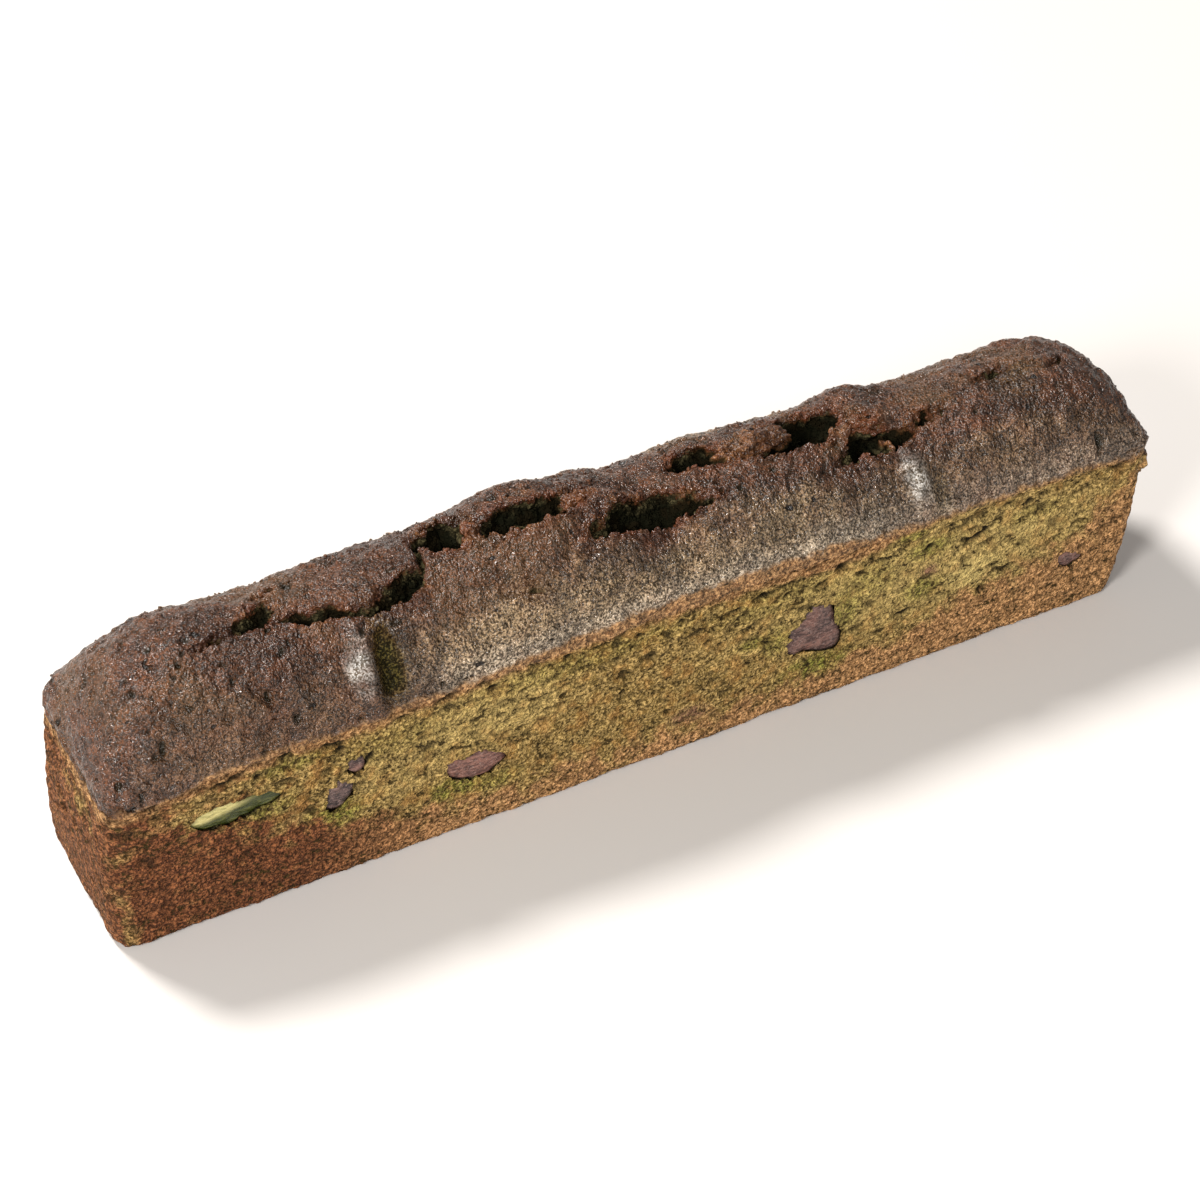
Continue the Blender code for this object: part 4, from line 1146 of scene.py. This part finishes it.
node(tree, "NodeGroupOutput", {"Crumbs": finished.outputs[0]})

seat = stand("crumb_seat", crust.data)
scattering = seat.modifiers.new("crumbling", "NODES")
scattering.node_group = crumbling
for name, value in (
    ("Crumb Size", 0.52 * MM), ("Clump Size", 1.05 * MM), ("Unevenness", 1.2 * MM), ("Finish", baked_crust),
):
    scattering[sockets[name]] = value
crumbs_mesh = bpy.data.meshes.new_from_object(seat.evaluated_get(bpy.context.evaluated_depsgraph_get()))
bpy.data.objects.remove(seat)
for layer in list(crumbs_mesh.attributes):
    if layer.name in shades or layer.name == "torn":
        crumbs_mesh.attributes.remove(layer)
crumbs_mesh.shade_smooth()
shade_in(crumbs_mesh)
clinging_crumbs = stand("clinging_crumbs", crumbs_mesh)

# Faces this deep in mm inside a split or socket are torn dough, without the crust's gloss. And
# what stands furthest out is pressed back a little, so nothing passes the loaf's true size.
TORN_FROM = 0.35
EDGE_MARGIN = 0.45 * MM


def laid_on(mesh, name):
    values = np.zeros(len(mesh.vertices))
    mesh.attributes[name].data.foreach_get("value", values)
    return values


for piece in (crust, front_half, back_half, torn_crumb, clinging_crumbs):
    piece.data.materials.clear()
    piece.data.materials.append(baked_wall if piece in (front_half, back_half) else baked_crust)
    piece.data.materials.append(torn_dough)
    depths = np.maximum(laid_on(piece.data, "torn"), laid_on(piece.data, "moss_and_shade") * 2.0 * TORN_FROM)
    inside = [int(depths[list(face.vertices)].mean() > TORN_FROM) for face in piece.data.polygons]
    piece.data.polygons.foreach_set("material_index", inside)
    places = points_of(piece.data)
    for axis, edge, sign in ((0, 0, -1), (0, 1, 1), (1, 0, -1), (1, 1, 1), (2, 1, 1)):
        past = np.maximum(sign * (places[:, axis] - cad_box[edge][axis]) + EDGE_MARGIN, 0.0)
        places[:, axis] -= sign * (past - EDGE_MARGIN * (1.0 - np.exp(-past / EDGE_MARGIN)))
    piece.data.vertices.foreach_set("co", places.ravel())
    piece.data.update()
    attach(piece, "root")
    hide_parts("loaf")

# ---------------------------------------------------------------------------------------------
# The beans: sweetened red beans, dark and purplish with a wrinkled skin, and one pale green
# one. Each lies in its socket with its flat face just inside the wall.

# Each pair of colours runs from the skin's furrows to its ridges; the furrows' dark is partly painted shade.
DARK_SKIN = ((0.020, 0.013, 0.014), (0.105, 0.064, 0.058))
PINK_SKIN = ((0.080, 0.032, 0.026), (0.235, 0.110, 0.082))
SPECKLED_SKIN = (0.30, 0.20, 0.17)
# The rim colours are painted shade where a bean lies deep in its socket, by the gap round it.
RED_RIM_SHADE = (0.010, 0.006, 0.004)
GREEN_SKIN = ((0.026, 0.034, 0.005), (0.50, 0.43, 0.17))
GREEN_FIBRES = (0.120, 0.120, 0.024)
GREEN_RIM_SHADE = (0.012, 0.013, 0.004)
WRINKLE_DEPTH = 0.5 * MM
# How pinkish the skin of these beans is, and of all the others.
PINKISH = {"bean_long": 0.75, "bean_small": 0.0, "bean_chip": 0.2, "bean_large": 0.20}
PINKISH_ELSE = 0.3

bean_red, tree = new_finish("sweet_red_bean")
fibres = grain(tree, 0.0016, 3.0, 0.6, (1.0, 1.0, 2.6))
specks = grain(tree, 0.0006, 2.0, 0.6)
ridges = between(tree, fibres, 0.38, 0.62)
ripe = added(tree, shade(tree, "pinkish"), grain(tree, 0.005, 2.0), 1.0)
skin = blend(tree, between(tree, ripe, 0.45, 1.05), blend(tree, ridges, *DARK_SKIN), blend(tree, ridges, *PINK_SKIN))
skin = blend(tree, between(tree, specks, 0.52, 0.70, 0.0, 0.6), skin, SPECKLED_SKIN)
# Painted shade where the bean lies deep in its socket.
skin = blend(tree, product(tree, shade(tree, "sunken"), 0.92), skin, RED_RIM_SHADE)
set_finish(tree, skin, between(tree, specks, 0.3, 0.7, 0.34, 0.55), fibres, WRINKLE_DEPTH)

# The green bean's skin is split along it: pale above the split at its left end, dark elsewhere.
SPLIT_SLANT = -0.20
bean_green, tree = new_finish("sweet_green_bean")
fibres = grain(tree, 0.0018, 3.0, 0.6, (0.5, 1.0, 2.0))
place = node(tree, "ShaderNodeSeparateXYZ", {0: node(tree, "ShaderNodeTexCoord").outputs["Object"]})
above_split = between(tree, added(tree, place.outputs["Z"], place.outputs["X"], SPLIT_SLANT), 0.0481, 0.0497)
left_part = between(tree, place.outputs["X"], -0.098, -0.090, 1.0, 0.12)
skin = blend(tree, product(tree, above_split, left_part), *GREEN_SKIN)
skin = blend(tree, between(tree, fibres, 0.45, 0.65, 0.0, 0.6), skin, GREEN_FIBRES)
# Painted shade where the bean lies deep in its socket.
skin = blend(tree, product(tree, shade(tree, "sunken"), 0.85), skin, GREEN_RIM_SHADE)
set_finish(tree, skin, between(tree, fibres, 0.3, 0.7, 0.18, 0.36), fibres, WRINKLE_DEPTH)

for name in BEAN_DEPTHS:
    mesh = bean_body(name, False)
    mesh.shade_smooth()
    inward = WIDTH / 2 / MM - np.abs(points_of(mesh)[:, 1] / MM + MIDDLE[1] / MM)
    # How deep each point lies in the socket, for the painted shade round the bean's edge.
    lay_on(mesh, "sunken", eased(inward, 0.50, 0.88))
    lay_on(mesh, "pinkish", [PINKISH.get(name, PINKISH_ELSE)] * len(mesh.vertices))
    bean = stand("visible_" + name, mesh)
    is_green = name == "bean_green"
    mesh.materials.append(bean_green if is_green else bean_red)
    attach(bean, "root")
    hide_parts(name)

# ---------------------------------------------------------------------------------------------
# The table is plain and pale, under soft studio light that comes mostly from the back left. The
# camera looks down on the loaf's front wall and left end, through a long lens.

TABLE_HALF = 3.0
TABLE_COLOUR = (0.58, 0.55, 0.525, 1.0)
AIR_COLOUR = (1.0, 0.985, 0.965, 1.0)
AIR_STRENGTH = 0.30
LAMP_COLOUR = (1.0, 0.985, 0.96)
# Each lamp: azimuth and elevation in degrees, distance and size in metres, power in watts.
LAMPS = {
    "window": (-25.0, 55.0, 1.6, 0.36, 37.0),
    "low_window": (-122.0, 36.0, 1.5, 0.40, 19.5),
    "front_fill": (-158.0, 38.0, 1.6, 0.50, 8.0),
    "low_glint": (-151.0, 7.0, 1.6, 0.22, 2.6),
}
CAMERA_AZIMUTH = -27.4
CAMERA_ELEVATION = 42.2
CAMERA_DISTANCE = 0.729
CAMERA_TARGET = (0.01246, 0.03052, 0.0)
LENS = 96.0
SENSOR_WIDTH = 36.0

corners = TABLE_HALF * np.array(((-1.0, -1.0, 0.0), (1.0, -1.0, 0.0), (1.0, 1.0, 0.0), (-1.0, 1.0, 0.0)))
table = stand("table", mesh_of("table", corners, [(0, 1, 2, 3)]))
pale, tree = new_finish("pale_table")
tree.nodes["Principled BSDF"].inputs["Base Color"].default_value = TABLE_COLOUR
tree.nodes["Principled BSDF"].inputs["Roughness"].default_value = 0.7
table.data.materials.append(pale)

world = bpy.data.worlds.new("studio")
bpy.context.scene.world = world
world.use_nodes = True
world.node_tree.nodes["Background"].inputs["Color"].default_value = AIR_COLOUR
world.node_tree.nodes["Background"].inputs["Strength"].default_value = AIR_STRENGTH

for name, (azimuth, elevation, distance, size, power) in LAMPS.items():
    light = bpy.data.lights.new(name, "AREA")
    light.shape = "DISK"
    light.size = size
    light.energy = power
    light.color = LAMP_COLOUR
    turn, rise = math.radians(azimuth), math.radians(elevation)
    towards = Vector((math.sin(turn) * math.cos(rise), math.cos(turn) * math.cos(rise), math.sin(rise)))
    lamp = stand(name, light)
    lamp.location = towards * distance
    lamp.rotation_euler = towards.to_track_quat("Z", "Y").to_euler()

lens_view = bpy.data.cameras.new("camera")
lens_view.lens = LENS
lens_view.sensor_width = SENSOR_WIDTH
camera = stand("camera", lens_view)
turn, rise = math.radians(CAMERA_AZIMUTH), math.radians(CAMERA_ELEVATION)
back = Vector((math.sin(turn) * math.cos(rise), -math.cos(turn) * math.cos(rise), math.sin(rise)))
right = Vector((math.cos(turn), math.sin(turn), 0.0))
facing = Matrix((right, back.cross(right), back)).transposed().to_4x4()
camera.matrix_world = Matrix.Translation(Vector(CAMERA_TARGET) + back * CAMERA_DISTANCE) @ facing
bpy.context.scene.camera = camera
bpy.context.scene.view_settings.view_transform = "Standard"
